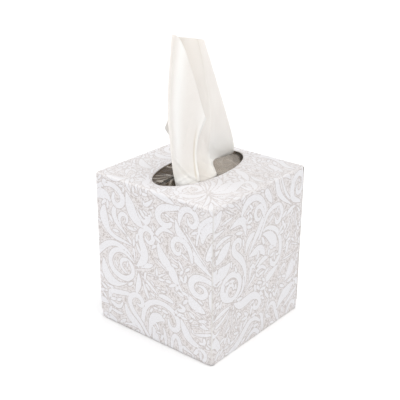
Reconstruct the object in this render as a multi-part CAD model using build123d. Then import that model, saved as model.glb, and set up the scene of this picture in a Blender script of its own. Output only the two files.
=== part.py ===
"""A cube tissue box: a printed board carton with an oval opening, the slit film under the opening,
the clip of interleaved tissues inside, and the one tissue that stands out of the slit.

Lengths are millimetres. The origin is the centre of the base, Z is up, the long axis of the oval
runs along Y, and the carton's closed ends face -Y and +Y.
"""
import os

from build123d import *

# Carton outside
BOX_WIDTH = 110.0
BOX_DEPTH = 110.0
BOX_HEIGHT = 122.0
BOARD = 0.5

# Creases, measured outside the board
LONG_CREASE_RADIUS = 1.0
TOP_END_RADIUS = 2.0
BOTTOM_END_RADIUS = 1.2
# The tube's creases stop this far inside the closed ends, where the flaps begin
CREASE_STOP = 3.5

# Flaps
GLUE_FLAP = 14.0
SEAM_INSET = 0.6
END_FLAP_GAP = 1.0
END_FLAP_SIDE_INSET = 0.6
END_FLAP_CORNER_WIDTH = 3.0
END_FLAP_CORNER_HEIGHT = 7.0
INNER_FLAP_HEIGHT = 45.0
INNER_FLAP_SIDE_INSET = 1.6
DUST_FLAP_LENGTH = 35.0
DUST_FLAP_TAPER = 9.0

# Oval opening in the top panel
OPENING_END_MARGIN = 9.0
OPENING_LENGTH = BOX_DEPTH - 2 * OPENING_END_MARGIN
OPENING_WIDTH = 44.0
OPENING_X = -3.0
OPENING_Y = 1.0

# Film under the opening
FILM = 0.1
FILM_SIDE_MARGIN = 8.0
FILM_END_MARGIN = 5.5
FILM_CORNER_RADIUS = 4.0

# Slit along the film, from the opening's centre
SLIT_SHIFT_X = -1.6
SLIT_SHIFT_Y = 2.0
SLIT_OVERRUN = 1.0
SLIT_LENGTH = OPENING_LENGTH + SLIT_OVERRUN
SLIT_WIDTH = 4.6

# Pocket that the bunched tissue has pressed into the film in front of the slit
POCKET_DEPTH = 3.0
POCKET_LIP = 1.2
POCKET_RIM_GAP = 0.5

# Clip of interleaved tissues, bent over into an upside-down U, with its room inside the carton
STACK_SIDE_ROOM = 2.5
STACK_END_ROOM = 1.2
STACK_HEADROOM = 10.5
STACK_CROWN_FLAT = 12.6
STACK_WIDTH = BOX_WIDTH - 2 * (BOARD + STACK_SIDE_ROOM)
STACK_SPAN = BOX_DEPTH - 2 * (3 * BOARD + STACK_END_ROOM)
STACK_TOP = BOX_HEIGHT - BOARD - STACK_HEADROOM
STACK_CROWN_RADIUS = (STACK_SPAN - STACK_CROWN_FLAT) / 2
STACK_GAP = 8.0
SEAT = 0.3

# The tissue that stands out of the slit
SHEET = 0.3
LAYER_STEP = 1.3
LAID_GAP = 0.9
LAID_INSET = 2.0
LAID_BEND = 9.0
LIP_STEP = 0.7
LIP_HEIGHT = 1.6

# Fold lines of the raised tissue, from its rear side edge round to its front side edge, drawn for
# an opening of the length and width below. The first pair of a line is its layer in the slit, from
# behind (-1) to in front (+), and its place along the slit. Then come its foot, collar, lower,
# upper and top point: X and Y from the opening's centre, and the height above the carton's top.
GATHER_LENGTH = 92.0
GATHER_WIDTH = 44.0
FOLD_LINES = {
    "rear_edge": ((-1, -5), (-3, -5, 0.5), (-4, -10, 9), (-6, -18, 20), (-7, -26, 29), (-7.2, -30.5, 37)),
    "rear_panel": ((-1, 19), (-3, 19, 0.5), (-3.6, 16, 9), (-4.8, 8, 25), (-5.5, -4, 46), (-5.6, -13, 64)),
    "right_back": ((-1, 44), (-3, 44, 0.5), (-3.2, 43.5, 9), (-3.6, 36, 28), (-4, 20, 62), (-3.6, 6, 91)),
    "right_fold": ((-0.5, 44.5), (-2, 44.6, 0.5), (-2, 44.5, 9),
                   (-2.2, 37, 27), (-2.4, 21, 64), (-2.5, 8, 92)),
    "right_front": ((0, 44), (-0.6, 44, 0.5), (-0.7, 43, 9), (-0.9, 36, 28), (-0.8, 20, 62), (-1.2, 6, 94)),
    "ridge_back": ((0, 15), (-0.6, 15, 0.5), (0, 11, 6), (2.4, 10, 28), (0.5, 9, 62), (-1.2, 0, 95.5)),
    "ridge": ((0, 2), (24, -2.5, -3.6), (4.2, 5.5, 6), (5.2, 5, 26), (2.5, 6, 62), (-0.8, -4, 96.5)),
    "hollow": ((0, -9), (20.5, -13.5, -3.8), (7, -6, 7), (0.5, -9, 30), (-1, -9, 62), (-1.8, -13, 98.5)),
    "inner_left": ((0, -18), (13, -24, -3.6), (3, -22, 8), (-1, -28, 30), (-1, -30, 62), (-1.4, -25, 101)),
    "left_fold": ((0, -25), (3.5, -34, -3), (-0.5, -32.5, 10),
                  (0.8, -37, 34), (1.6, -38, 66), (1.4, -31, 104)),
    "roll": ((0.4, -26.5), (10, -37.6, -3.4), (9, -37, 9),
             (8.5, -36.5, 34), (7.6, -36.5, 66), (4.8, -29, 103)),
    "front_panel": ((0.8, -27), (16.5, -30, -3.8), (15, -29, 8),
                    (13, -27, 25), (11.5, -23, 45), (8.5, -19, 74)),
    "front_edge": ((0.8, -21), (17.5, -22, -3.8), (16.6, -23, 9),
                   (16.5, -25, 20), (14.5, -21, 32), (11, -7.4, 42)),
}

# How finely the folded sheet is laid out, across its folds and up its length
STEPS_ACROSS = 33
STEPS_UP = 32


def board_strip(points, outside_radius, width):
    """Board that follows the points in a plane, creased at each corner, and as wide as stated."""
    line = FilletPolyline(*points, radius=outside_radius - BOARD / 2)
    return extrude(trace(line, BOARD), width / 2, both=True)


def tube():
    """Four panels round the Y axis, with the back panel's glue flap laid inside the bottom panel."""
    side = BOX_WIDTH / 2 - BOARD / 2
    top = BOX_HEIGHT - BOARD / 2
    middle = (-side, BOX_HEIGHT / 2)
    seam = -BOX_WIDTH / 2 + SEAM_INSET
    panels = [(seam, BOARD / 2), (side, BOARD / 2), (side, top), (-side, top), middle]
    flap = [middle, (-side, 1.5 * BOARD), (-BOX_WIDTH / 2 + GLUE_FLAP, 1.5 * BOARD)]
    length = BOX_DEPTH - 2 * CREASE_STOP
    strips = [board_strip(points, LONG_CREASE_RADIUS, length) for points in (panels, flap)]
    return Plane.XZ * (strips[0] + strips[1])


def top_end_flap():
    """The outer flap: it rolls over the top edge and comes down over the whole end."""
    face = -BOX_DEPTH / 2 + BOARD / 2
    points = [
        (-BOX_DEPTH / 2 + CREASE_STOP, BOX_HEIGHT - BOARD / 2),
        (face, BOX_HEIGHT - BOARD / 2),
        (face, END_FLAP_GAP),
    ]
    width = BOX_WIDTH - 2 * END_FLAP_SIDE_INSET
    flap = Plane.YZ * board_strip(points, TOP_END_RADIUS, width)
    corner = Polyline(
        (width / 2, END_FLAP_GAP),
        (width / 2, END_FLAP_GAP + END_FLAP_CORNER_HEIGHT),
        (width / 2 - END_FLAP_CORNER_WIDTH, END_FLAP_GAP),
        close=True,
    )
    corner_cut = extrude(Plane.XZ.offset(BOX_DEPTH / 2 - BOARD) * make_face(corner), BOARD)
    return flap - corner_cut - mirror(corner_cut, about=Plane.YZ)


def bottom_end_flap():
    """The inner flap: it folds up from the bottom panel and is glued behind the outer flap."""
    face = -BOX_DEPTH / 2 + 1.5 * BOARD
    points = [
        (-BOX_DEPTH / 2 + CREASE_STOP, BOARD / 2),
        (face, BOARD / 2),
        (face, INNER_FLAP_HEIGHT),
    ]
    width = BOX_WIDTH - 2 * INNER_FLAP_SIDE_INSET
    return Plane.YZ * board_strip(points, BOTTOM_END_RADIUS, width)


def dust_flap():
    """The side panel's tapered flap, innermost at the closed end."""
    side = BOX_WIDTH / 2 - BOARD / 2
    face = -BOX_DEPTH / 2 + 2.5 * BOARD
    tip = BOX_WIDTH / 2 - DUST_FLAP_LENGTH
    points = [(side, -BOX_DEPTH / 2 + CREASE_STOP), (side, face), (tip, face)]
    low = LONG_CREASE_RADIUS
    high = BOX_HEIGHT - LONG_CREASE_RADIUS
    strip = board_strip(points, LONG_CREASE_RADIUS, high - low)
    strip = Pos(0, 0, (low + high) / 2) * strip
    hinge = BOX_WIDTH / 2 - LONG_CREASE_RADIUS
    outline = Polyline(
        (BOX_WIDTH, low),
        (hinge, low),
        (hinge - DUST_FLAP_TAPER, low + DUST_FLAP_TAPER),
        (tip, low + DUST_FLAP_TAPER),
        (tip, high - DUST_FLAP_TAPER),
        (hinge - DUST_FLAP_TAPER, high - DUST_FLAP_TAPER),
        (hinge, high),
        (BOX_WIDTH, high),
        close=True,
    )
    return strip & extrude(Plane.XZ * make_face(outline), BOX_DEPTH)


def oval(length, width, height):
    """An oval sketch over the opening's centre, long axis along Y, at the stated height."""
    return Pos(OPENING_X, OPENING_Y, height) * Ellipse(width / 2, length / 2)


def carton():
    """The folded and glued carton, one sheet of board."""
    end = top_end_flap() + bottom_end_flap() + dust_flap() + mirror(dust_flap(), about=Plane.YZ)
    opening = extrude(oval(OPENING_LENGTH, OPENING_WIDTH, BOX_HEIGHT - BOARD), BOARD)
    return tube() + end + mirror(end, about=Plane.XZ) - opening


def film_pocket(top, grow):
    """The space pressed into the film, from the stated height down, grown by the film's thickness."""
    shrink = 2 * (POCKET_RIM_GAP - grow)
    front = OPENING_X + SLIT_SHIFT_X + SLIT_WIDTH / 2 + POCKET_LIP - grow
    half = Pos(front + OPENING_WIDTH / 2, OPENING_Y, top) * Rectangle(OPENING_WIDTH, OPENING_LENGTH)
    outline = oval(OPENING_LENGTH - shrink, OPENING_WIDTH - shrink, top) & half
    return extrude(outline, -POCKET_DEPTH)


def window_film():
    """The film, glued flat round the opening, with its pocket and its slit."""
    top = BOX_HEIGHT - BOARD
    width = OPENING_WIDTH + 2 * FILM_SIDE_MARGIN
    length = OPENING_LENGTH + 2 * FILM_END_MARGIN
    outline = Pos(OPENING_X, OPENING_Y, top - FILM) * RectangleRounded(width, length, FILM_CORNER_RADIUS)
    film = extrude(outline, FILM) + film_pocket(top - FILM, FILM) - film_pocket(top, 0)
    slit = SlotOverall(SLIT_LENGTH, SLIT_WIDTH, rotation=90)
    slit = Pos(OPENING_X + SLIT_SHIFT_X, OPENING_Y + SLIT_SHIFT_Y, top - FILM) * slit
    return film - extrude(slit, FILM)


def clip_outline(grow):
    """The clip's outer arch seen along X, grown by the stated distance, from its base up."""
    half = STACK_SPAN / 2 + grow
    base = 2 * BOARD + SEAT
    return [(-half, base), (-half, STACK_TOP + grow), (half, STACK_TOP + grow), (half, base)]


def tissue_stack():
    """The clip: both legs stand on the carton's bottom, and the bend lies under the opening."""
    base = 2 * BOARD + SEAT
    arch = FilletPolyline(*clip_outline(0), radius=STACK_CROWN_RADIUS)
    body = make_face(arch + Line(arch @ 1, arch @ 0))
    inner_top = STACK_TOP - (STACK_SPAN - STACK_GAP) / 2
    slot = Pos(0, (base + inner_top) / 2) * SlotCenterToCenter(inner_top - base, STACK_GAP, rotation=90)
    return extrude(Plane.YZ * (body - slot), STACK_WIDTH / 2, both=True)


def crown_drop(y):
    """How far the clip's top surface has curved down at the stated place along Y."""
    past = max(abs(y) - (STACK_SPAN / 2 - STACK_CROWN_RADIUS), 0)
    past = min(past, STACK_CROWN_RADIUS)
    return STACK_CROWN_RADIUS - (STACK_CROWN_RADIUS**2 - past**2) ** 0.5


def pulled_point(points, share):
    """A point on the smooth curve that starts and ends on the points and is pulled by the rest."""
    spans = len(points) - 2
    knots = [0, 0, *range(spans + 1), spans, spans]
    place = share * spans
    first = min(int(place), spans - 1)
    near = points[first : first + 3]
    for level in (1, 2):
        for index in range(2, level - 1, -1):
            low = knots[first + index]
            part = (place - low) / (knots[first + 3 + index - level] - low)
            near[index] = near[index - 1] * (1 - part) + near[index] * part
    return near[2]


def fold_line(slit, *points):
    """A fold line's points, from its end laid on the clip up through the slit to the sheet's edge."""
    layer, place = slit
    across = OPENING_WIDTH / GATHER_WIDTH
    along = OPENING_LENGTH / GATHER_LENGTH
    x = OPENING_X + SLIT_SHIFT_X + layer * LAYER_STEP
    y = OPENING_Y + place * along
    laid = STACK_TOP + LAID_GAP + SHEET / 2 + (1 + layer) * LAYER_STEP
    line = [
        Vector(STACK_WIDTH / 2 - LAID_INSET, y, laid),
        Vector(x + LAID_BEND, y, laid),
        Vector(x, y, laid),
    ]
    if points[0][2] < 0:
        lip = OPENING_X + SLIT_SHIFT_X + SLIT_WIDTH / 2 + LIP_STEP
        line.append(Vector(x, y, BOX_HEIGHT + LIP_HEIGHT))
        line.append(Vector(lip, y, BOX_HEIGHT + 1.5 * LIP_HEIGHT))
    else:
        line.append(Vector(x, y, BOX_HEIGHT - 2 * LIP_HEIGHT))
        line.append(Vector(x, y, BOX_HEIGHT - LIP_HEIGHT / 2))
    for x, y, height in points:
        line.append(Vector(OPENING_X + x * across, OPENING_Y + y * along, BOX_HEIGHT + height))
    return line


def settled(point):
    """The point let down onto the clip's curved top, fully where it lies there and less above."""
    share = (BOX_HEIGHT - point.Z) / (BOX_HEIGHT - STACK_TOP)
    return point - Vector(0, 0, crown_drop(point.Y) * min(max(share, 0), 1))


def folded_middle():
    """The middle of the folded sheet, as rows of points from its laid end up to its raised edge."""
    lines = [fold_line(*values) for values in FOLD_LINES.values()]
    rises = [[pulled_point(line, step / STEPS_UP) for line in lines] for step in range(STEPS_UP + 1)]
    rows = [[pulled_point(row, step / STEPS_ACROSS) for step in range(STEPS_ACROSS + 1)] for row in rises]
    return [[settled(point) for point in row] for row in rows]


def long_lines(middle, distance):
    """Lines up the length of one side of the sheet, the stated distance square from its middle."""
    last_row = len(middle) - 1
    last_column = len(middle[0]) - 1
    lines = []
    for column in range(last_column + 1):
        points = []
        for row in range(last_row + 1):
            here = middle[row]
            across = here[min(column + 1, last_column)] - here[max(column - 1, 0)]
            up = middle[min(row + 1, last_row)][column] - middle[max(row - 1, 0)][column]
            points.append(here[column] + across.cross(up).normalized() * distance)
        lines.append(Edge.make_spline(points))
    return lines


def raised_tissue():
    """The next tissue: its lower half is laid on the clip, and its folds rise through the slit."""
    middle = folded_middle()
    front = long_lines(middle, SHEET / 2)
    back = long_lines(middle, -SHEET / 2)
    faces = [Face.make_surface_from_curves(front[place], back[place]) for place in (0, -1)]
    for column in range(STEPS_ACROSS):
        for lines in (front, back):
            faces.append(Face.make_surface_from_curves(lines[column], lines[column + 1]))
        for end in (0, 1):
            low = Edge.make_line(front[column] @ end, front[column + 1] @ end)
            high = Edge.make_line(back[column] @ end, back[column + 1] @ end)
            faces.append(Face.make_surface_from_curves(low, high))
    return Solid(Shell(faces))


os.makedirs("parts", exist_ok=True)
PIECES = {
    "carton": carton,
    "window_film": window_film,
    "tissue_stack": tissue_stack,
    "raised_tissue": raised_tissue,
}
for name, make in PIECES.items():
    export_step(make(), f"parts/{name}.step")
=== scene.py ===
"""The tissue box dressed for the camera: printed carton, slit film, clip of tissues, raised tissue."""
from math import pi

import bmesh
import bpy
import numpy as np
from mathutils import Matrix, Vector
from mathutils.geometry import delaunay_2d_cdt


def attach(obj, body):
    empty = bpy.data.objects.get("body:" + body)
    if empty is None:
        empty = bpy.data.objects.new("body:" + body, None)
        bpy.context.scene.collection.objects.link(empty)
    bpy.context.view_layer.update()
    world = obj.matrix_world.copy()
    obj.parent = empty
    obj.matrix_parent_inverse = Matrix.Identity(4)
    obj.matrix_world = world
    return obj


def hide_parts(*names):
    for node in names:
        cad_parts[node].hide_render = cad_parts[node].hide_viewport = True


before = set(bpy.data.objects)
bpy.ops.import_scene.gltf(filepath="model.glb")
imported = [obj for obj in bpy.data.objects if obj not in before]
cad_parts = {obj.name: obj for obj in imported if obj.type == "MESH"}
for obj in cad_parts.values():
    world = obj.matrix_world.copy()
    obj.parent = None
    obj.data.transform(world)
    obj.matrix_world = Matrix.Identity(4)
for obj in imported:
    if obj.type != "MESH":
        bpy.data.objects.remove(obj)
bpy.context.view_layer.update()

# Camera: the photograph's view, from above, facing the corner between the front and right walls.
LENS, SENSOR = 75.9, 36
VIEW_PLACE = Vector((0.36685, -0.45272, 0.34504))
VIEW_RIGHT = Vector((0.77402, 0.63312, 0.0071))
VIEW_UP = Vector((-0.25347, 0.29957, 0.91979))
VIEW_BACK = Vector((0.58021, -0.71373, 0.39236))


def put_in_scene(name, data):
    """A new object that shows the data, linked to the scene."""
    thing = bpy.data.objects.new(name, data)
    bpy.context.scene.collection.objects.link(thing)
    return thing


camera_data = bpy.data.cameras.new("view_camera")
camera_data.sensor_width = SENSOR
camera_data.lens = LENS
camera = put_in_scene("view_camera", camera_data)
turn = Matrix((VIEW_RIGHT, VIEW_UP, VIEW_BACK)).transposed().to_4x4()
camera.matrix_world = Matrix.Translation(VIEW_PLACE) @ turn
bpy.context.scene.camera = camera
bpy.context.scene.view_settings.view_transform = "Standard"

# Studio: a plain pale floor in an even white room, with a soft key light from the left, a broader
# one from overhead and a weak fill from the right.
FLOOR_REACH = 4.0


def feed(node, values):
    """Gives a node's inputs plain values or other nodes' outputs."""
    for label, value in values.items():
        if isinstance(value, bpy.types.NodeSocket):
            node.id_data.links.new(value, node.inputs[label])
        else:
            node.inputs[label].default_value = value


def new_finish(name):
    """A new material, its node tree and its surface shader."""
    finish = bpy.data.materials.new(name)
    finish.use_nodes = True
    return finish, finish.node_tree, finish.node_tree.nodes["Principled BSDF"]


floor_mesh = bpy.data.meshes.new("studio_floor")
floor_corners = [(x * FLOOR_REACH, y * FLOOR_REACH, 0) for x, y in ((-1, -1), (1, -1), (1, 1), (-1, 1))]
floor_mesh.from_pydata(floor_corners, [], [(0, 1, 2, 3)])
floor = put_in_scene("studio_floor", floor_mesh)
floor_finish, _, shader = new_finish("studio_floor")
feed(shader, {"Base Color": (0.95, 0.95, 0.95, 1), "Roughness": 0.9})
floor_mesh.materials.append(floor_finish)

world = bpy.data.worlds.new("studio_air")
world.use_nodes = True
feed(world.node_tree.nodes["Background"], {"Color": (0.985, 0.99, 1.0, 1), "Strength": 0.8})
bpy.context.scene.world = world

# Each light: where it shines from, how broad it is, how strong, and its colour
for name, place, breadth, power, colour in (
        ("left_key", (-0.85, -0.45, 0.35), 0.35, 0.85, (1, 0.995, 1)),
        ("overhead", (0.25, 0.05, 1.0), 0.9, 1.2, (1, 0.985, 0.965)),
        ("right_fill", (0.9, -0.25, 0.3), 0.8, 0.15, (1, 0.985, 0.975))):
    light = bpy.data.lights.new(name, "SUN")
    light.energy, light.angle, light.color = power, breadth, colour
    holder = put_in_scene(name, light)
    holder.location = place
    holder.rotation_euler = Vector(place).to_track_quat("Z", "Y").to_euler()


# Carton: one sheet of grey-backed board, printed outside with a scrolling leaf pattern, creased
# into a tube of four panels and closed at both ends by glued flaps. The outer end flap rolls over
# the top edge. The sheet is drawn flat, s across the tube and t along it, and then folded.
MM = 0.001
WIDTH, DEPTH, HEIGHT, BOARD = 110.0, 110.0, 122.0, 0.5
CREASE, TOP_ROLL, LOW_ROLL = 1.0, 2.0, 1.2
# How far the top, the base and the side walls run on past the tube's end before their flaps turn
TOP_BACK, LOW_BACK, DUST_BACK = 1.5, 1.8, 1.9
CUT_HALF, SEAM_SHORT, FLAP_SHORT = 0.04, 0.6, 1.0
GLUE_WIDTH, INNER_WIDTH, INNER_HEIGHT, DUST_HEIGHT = 13.0, 106.8, 43.8, 34.0
CHAMFER_WIDTH, CHAMFER_HEIGHT = 3.0, 7.0
DUST_TAPER, DUST_STRAIGHT = 9.0, 1.6
OVAL = (-3.0, 1.0, 22.0, 46.0)
PANEL_SWELL, SWELL_WIDTH = 0.45, WIDTH + 2


def quarter_turn(radius):
    """Length of the board's middle round a quarter turn of the stated outer radius."""
    return (radius - BOARD / 2) * pi / 2


END = DEPTH / 2 - TOP_BACK - TOP_ROLL
ARC, TOP_ARC, LOW_ARC = quarter_turn(CREASE), quarter_turn(TOP_ROLL), quarter_turn(LOW_ROLL)
S_TOP = WIDTH / 2 - CREASE
S_SIDE = S_TOP + ARC
S_LOW_RIGHT = S_SIDE + HEIGHT - 2 * CREASE
S_LOW_LEFT = S_LOW_RIGHT - BOARD
S_BASE_RIGHT = S_LOW_RIGHT + ARC
S_BASE_LEFT = S_LOW_LEFT + ARC
S_SEAM = S_BASE_RIGHT + WIDTH - CREASE - SEAM_SHORT
S_GLUE = S_BASE_LEFT + GLUE_WIDTH
FLAP_HALF = S_TOP + ARC / 2 - CUT_HALF
DUST_TOP = S_TOP + ARC / 2 + CUT_HALF
WALL_TOP = END + TOP_BACK + TOP_ARC + HEIGHT - TOP_ROLL
FLAP_END = WALL_TOP - FLAP_SHORT
DUST_HINGE = END + DUST_BACK + ARC
DUST_END = DUST_HINGE + DUST_HEIGHT
INNER_LEFT = S_BASE_RIGHT + SEAM_SHORT
INNER_RIGHT = INNER_LEFT + INNER_WIDTH
INNER_END = END + LOW_BACK + LOW_ARC + INNER_HEIGHT


def round_tube(s, depth):
    """Place and outward direction round the tube, at a depth below the printed side."""
    a = np.abs(s)
    left = s < 0
    low = np.where(left, CREASE + BOARD, CREASE)
    s_low = np.where(left, S_LOW_LEFT, S_LOW_RIGHT)
    first = np.clip((a - S_TOP) / (CREASE - BOARD / 2), 0, pi / 2)
    second = np.clip((a - s_low) / (CREASE - BOARD / 2), 0, pi / 2)
    angle = first + second
    nx, nz = np.sin(angle), np.cos(angle)
    side = np.clip(a - S_SIDE, 0, s_low - S_SIDE)
    base = np.maximum(a - s_low - ARC, 0)
    x = np.where(a <= S_TOP, a, S_TOP + (CREASE - depth) * nx - base)
    z = np.where(angle <= pi / 2, HEIGHT - CREASE + (CREASE - depth) * nz - side,
                 low + (CREASE - depth) * nz)
    return np.where(left, -x, x), z, np.where(left, -nx, nx), nz


def folded(s, t, depth):
    """The sheet's flat place (s, t) carried to its place on the folded carton."""
    x, z, nx, nz = round_tube(s, 0.0)
    past = np.abs(t) - END
    a = np.abs(s)
    on_top = a < S_TOP + ARC / 2
    on_base = a > S_LOW_LEFT + ARC / 2
    back = np.where(on_base, LOW_BACK, np.where(on_top, TOP_BACK, DUST_BACK))
    roll = np.where(on_top, TOP_ROLL, np.where(on_base, LOW_ROLL, CREASE))
    nx = np.where(on_top | on_base, 0, np.sign(s))
    nz = np.where(on_top, 1.0, np.where(on_base, -1.0, 0.0))
    turned = np.clip((past - back) / (roll - BOARD / 2), 0, pi / 2)
    beyond = np.maximum(past - back - quarter_turn(roll), 0)
    along = END + np.minimum(past, back) + (roll - depth) * np.sin(turned)
    down = roll - (roll - depth) * np.cos(turned) + beyond
    flap = np.stack([x - nx * down, np.sign(t) * along, z - nz * down], -1)
    tx, tz, _, _ = round_tube(s, depth)
    tube = np.stack([tx, t, tz], -1)
    place = np.where((past > 0)[:, None], flap, tube)
    swell = PANEL_SWELL * np.sin(pi * np.clip(place[:, 2] / HEIGHT, 0, 1))
    bow = np.cos(pi * place[:, :2] / SWELL_WIDTH) * swell[:, None]
    place[:, :2] += bow[:, ::-1] * place[:, :2] / (WIDTH / 2)
    return place


def from_crease(s, t):
    """How far a flat place lies from the nearest crease or rolled edge that shows."""
    a, b = np.abs(s), np.abs(t)
    long_crease = np.minimum(np.abs(a - S_TOP - ARC / 2), np.abs(a - S_LOW_RIGHT - ARC / 2))
    rolled = np.where(a < S_SIDE, np.abs(b - END - TOP_BACK - TOP_ARC / 2), np.abs(b - DUST_HINGE + ARC / 2))
    return np.minimum(long_crease, rolled)


def sheet_holds(s, t):
    """Whether a flat place lies on the cut sheet."""
    a, b = np.abs(s), np.abs(t)
    x0, y0, rx, ry = OVAL
    oval = ((s - x0) / rx) ** 2 + ((t - y0) / ry) ** 2 < 1
    tube = (b < END) & (s > -S_GLUE) & (s < S_SEAM) & ~oval
    chamfer = (a - (FLAP_HALF - CHAMFER_WIDTH)) / CHAMFER_WIDTH + (b - FLAP_END) / CHAMFER_HEIGHT
    end = (b > END) & (b < FLAP_END) & (a < FLAP_HALF) & (chamfer < 0)
    low = np.where(s < 0, S_LOW_LEFT, S_LOW_RIGHT)
    inset = np.clip(b - DUST_HINGE - DUST_STRAIGHT, 0, DUST_TAPER)
    dust = (b > END) & (b < DUST_END) & (a > DUST_TOP + inset) & (a < low - inset)
    inner = (b > END) & (b < INNER_END) & (s > INNER_LEFT) & (s < INNER_RIGHT)
    return tube | end | dust | inner


def cut_outline():
    """Corners of the cut sheet's edge, anticlockwise."""
    upper = [(S_SEAM, END), (INNER_RIGHT, END), (INNER_RIGHT, INNER_END), (INNER_LEFT, INNER_END),
             (INNER_LEFT, END)]
    start = DUST_HINGE + DUST_STRAIGHT
    for side, low in ((1, S_LOW_RIGHT), (-1, S_LOW_LEFT)):
        dust = [(low, END), (low, start), (low - DUST_TAPER, start + DUST_TAPER),
                (low - DUST_TAPER, DUST_END), (DUST_TOP + DUST_TAPER, DUST_END),
                (DUST_TOP + DUST_TAPER, start + DUST_TAPER), (DUST_TOP, start), (DUST_TOP, END)]
        if side > 0:
            upper += dust
            upper += [(FLAP_HALF, END), (FLAP_HALF, FLAP_END - CHAMFER_HEIGHT),
                      (FLAP_HALF - CHAMFER_WIDTH, FLAP_END), (-FLAP_HALF + CHAMFER_WIDTH, FLAP_END),
                      (-FLAP_HALF, FLAP_END - CHAMFER_HEIGHT), (-FLAP_HALF, END)]
        else:
            upper += [(-s, t) for s, t in reversed(dust)]
    upper.append((-S_GLUE, END))
    return upper + [(s, -t) for s, t in reversed(upper)]


def stepped(low, high, step):
    """Even steps strictly between two values."""
    count = max(int(round((high - low) / step)), 1)
    return np.linspace(low, high, count + 1)[1:-1]


def along_edges(corners, step):
    """Points along a closed outline, no further apart than the step."""
    points = []
    for (s0, t0), (s1, t1) in zip(corners, corners[1:] + corners[:1]):
        count = max(int(np.hypot(s1 - s0, t1 - t0) / step), 1)
        for share in (index / count for index in range(count)):
            points.append((s0 + (s1 - s0) * share, t0 + (t1 - t0) * share))
    return points


def lines_in(low, high, fine, bends):
    """Grid lines across a strip: even between its bends, and five steps round each bend."""
    bend_ends = [value for bend in bends for value in bend]
    edges = [low] + bend_ends + [high]
    lines = []
    for index, (a, b) in enumerate(zip(edges, edges[1:])):
        lines += list(stepped(a, b, (b - a) / 5 if index % 2 else fine))
    return lines + bend_ends


def inside_grid(fine):
    """Grid points inside the cut sheet: closer together on the printed walls that show most."""
    show, rest, plain = (1.0, 1.6, 6.0) if fine else (7.0, 7.0, 7.0)
    hidden = 5.0
    top_s = list(stepped(-S_TOP, S_TOP, show)) + [-S_TOP, S_TOP]
    right_s = lines_in(S_TOP, S_BASE_RIGHT, show, [(S_TOP, S_SIDE), (S_LOW_RIGHT, S_BASE_RIGHT)])
    left_s = lines_in(S_TOP, S_BASE_LEFT, rest, [(S_TOP, S_SIDE), (S_LOW_LEFT, S_BASE_LEFT)])
    base_s = stepped(S_BASE_RIGHT, S_SEAM, plain)
    glue_s = stepped(S_BASE_LEFT, S_GLUE, plain)
    wide_t = stepped(-END, END, plain)
    grids = [(top_s + right_s, stepped(-END, END, show)), ([-s for s in left_s], stepped(-END, END, rest)),
             (base_s, wide_t), (-glue_s, wide_t)]
    for sign, step in ((-1, show), (1, rest)):
        lines = lines_in(END, FLAP_END, step, [(END + TOP_BACK, END + TOP_BACK + TOP_ARC)])
        grids.append((stepped(-FLAP_HALF, FLAP_HALF, step), [sign * t for t in lines]))
        dust = lines_in(END, DUST_END, hidden, [(END + DUST_BACK, DUST_HINGE)])
        for low, high in ((S_SIDE, S_LOW_RIGHT), (-S_LOW_LEFT, -S_SIDE)):
            grids.append((stepped(low, high, hidden), [sign * t for t in dust]))
        inner = lines_in(END, INNER_END, hidden, [(END + LOW_BACK, END + LOW_BACK + LOW_ARC)])
        grids.append((stepped(INNER_LEFT, INNER_RIGHT, hidden), [sign * t for t in inner]))
    points = np.concatenate([np.stack(np.meshgrid(s, t), -1).reshape(-1, 2) for s, t in grids])
    x0, y0, rx, ry = OVAL
    from_oval = (np.hypot((points[:, 0] - x0) / rx, (points[:, 1] - y0) / ry) - 1) * rx
    keep = from_oval > (0.35 if fine else 2.0)
    for s, t in ((0.3, 0), (-0.3, 0), (0, 0.3), (0, -0.3)):
        keep &= sheet_holds(points[:, 0] + s, points[:, 1] + t)
    return points[keep]


def ring_pairs(first, count):
    """Neighbours round a closed run of points, by number."""
    return [(first + index, first + (index + 1) % count) for index in range(count)]


def triangulated(edge, hole, inner):
    """Triangles of the cut sheet through its edge points, the opening's and the grid's."""
    points = np.concatenate([edge, hole, inner])
    ties = ring_pairs(0, len(edge)) + ring_pairs(len(edge), len(hole))
    made = delaunay_2d_cdt([Vector(p) for p in points], ties, [], 0, 1e-6)
    origin = [first[0] for first in made[3]]
    faces = np.array([[origin[corner] for corner in face] for face in made[2]])
    middle = points[faces].mean(axis=1)
    return points, faces[sheet_holds(middle[:, 0], middle[:, 1])]


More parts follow.
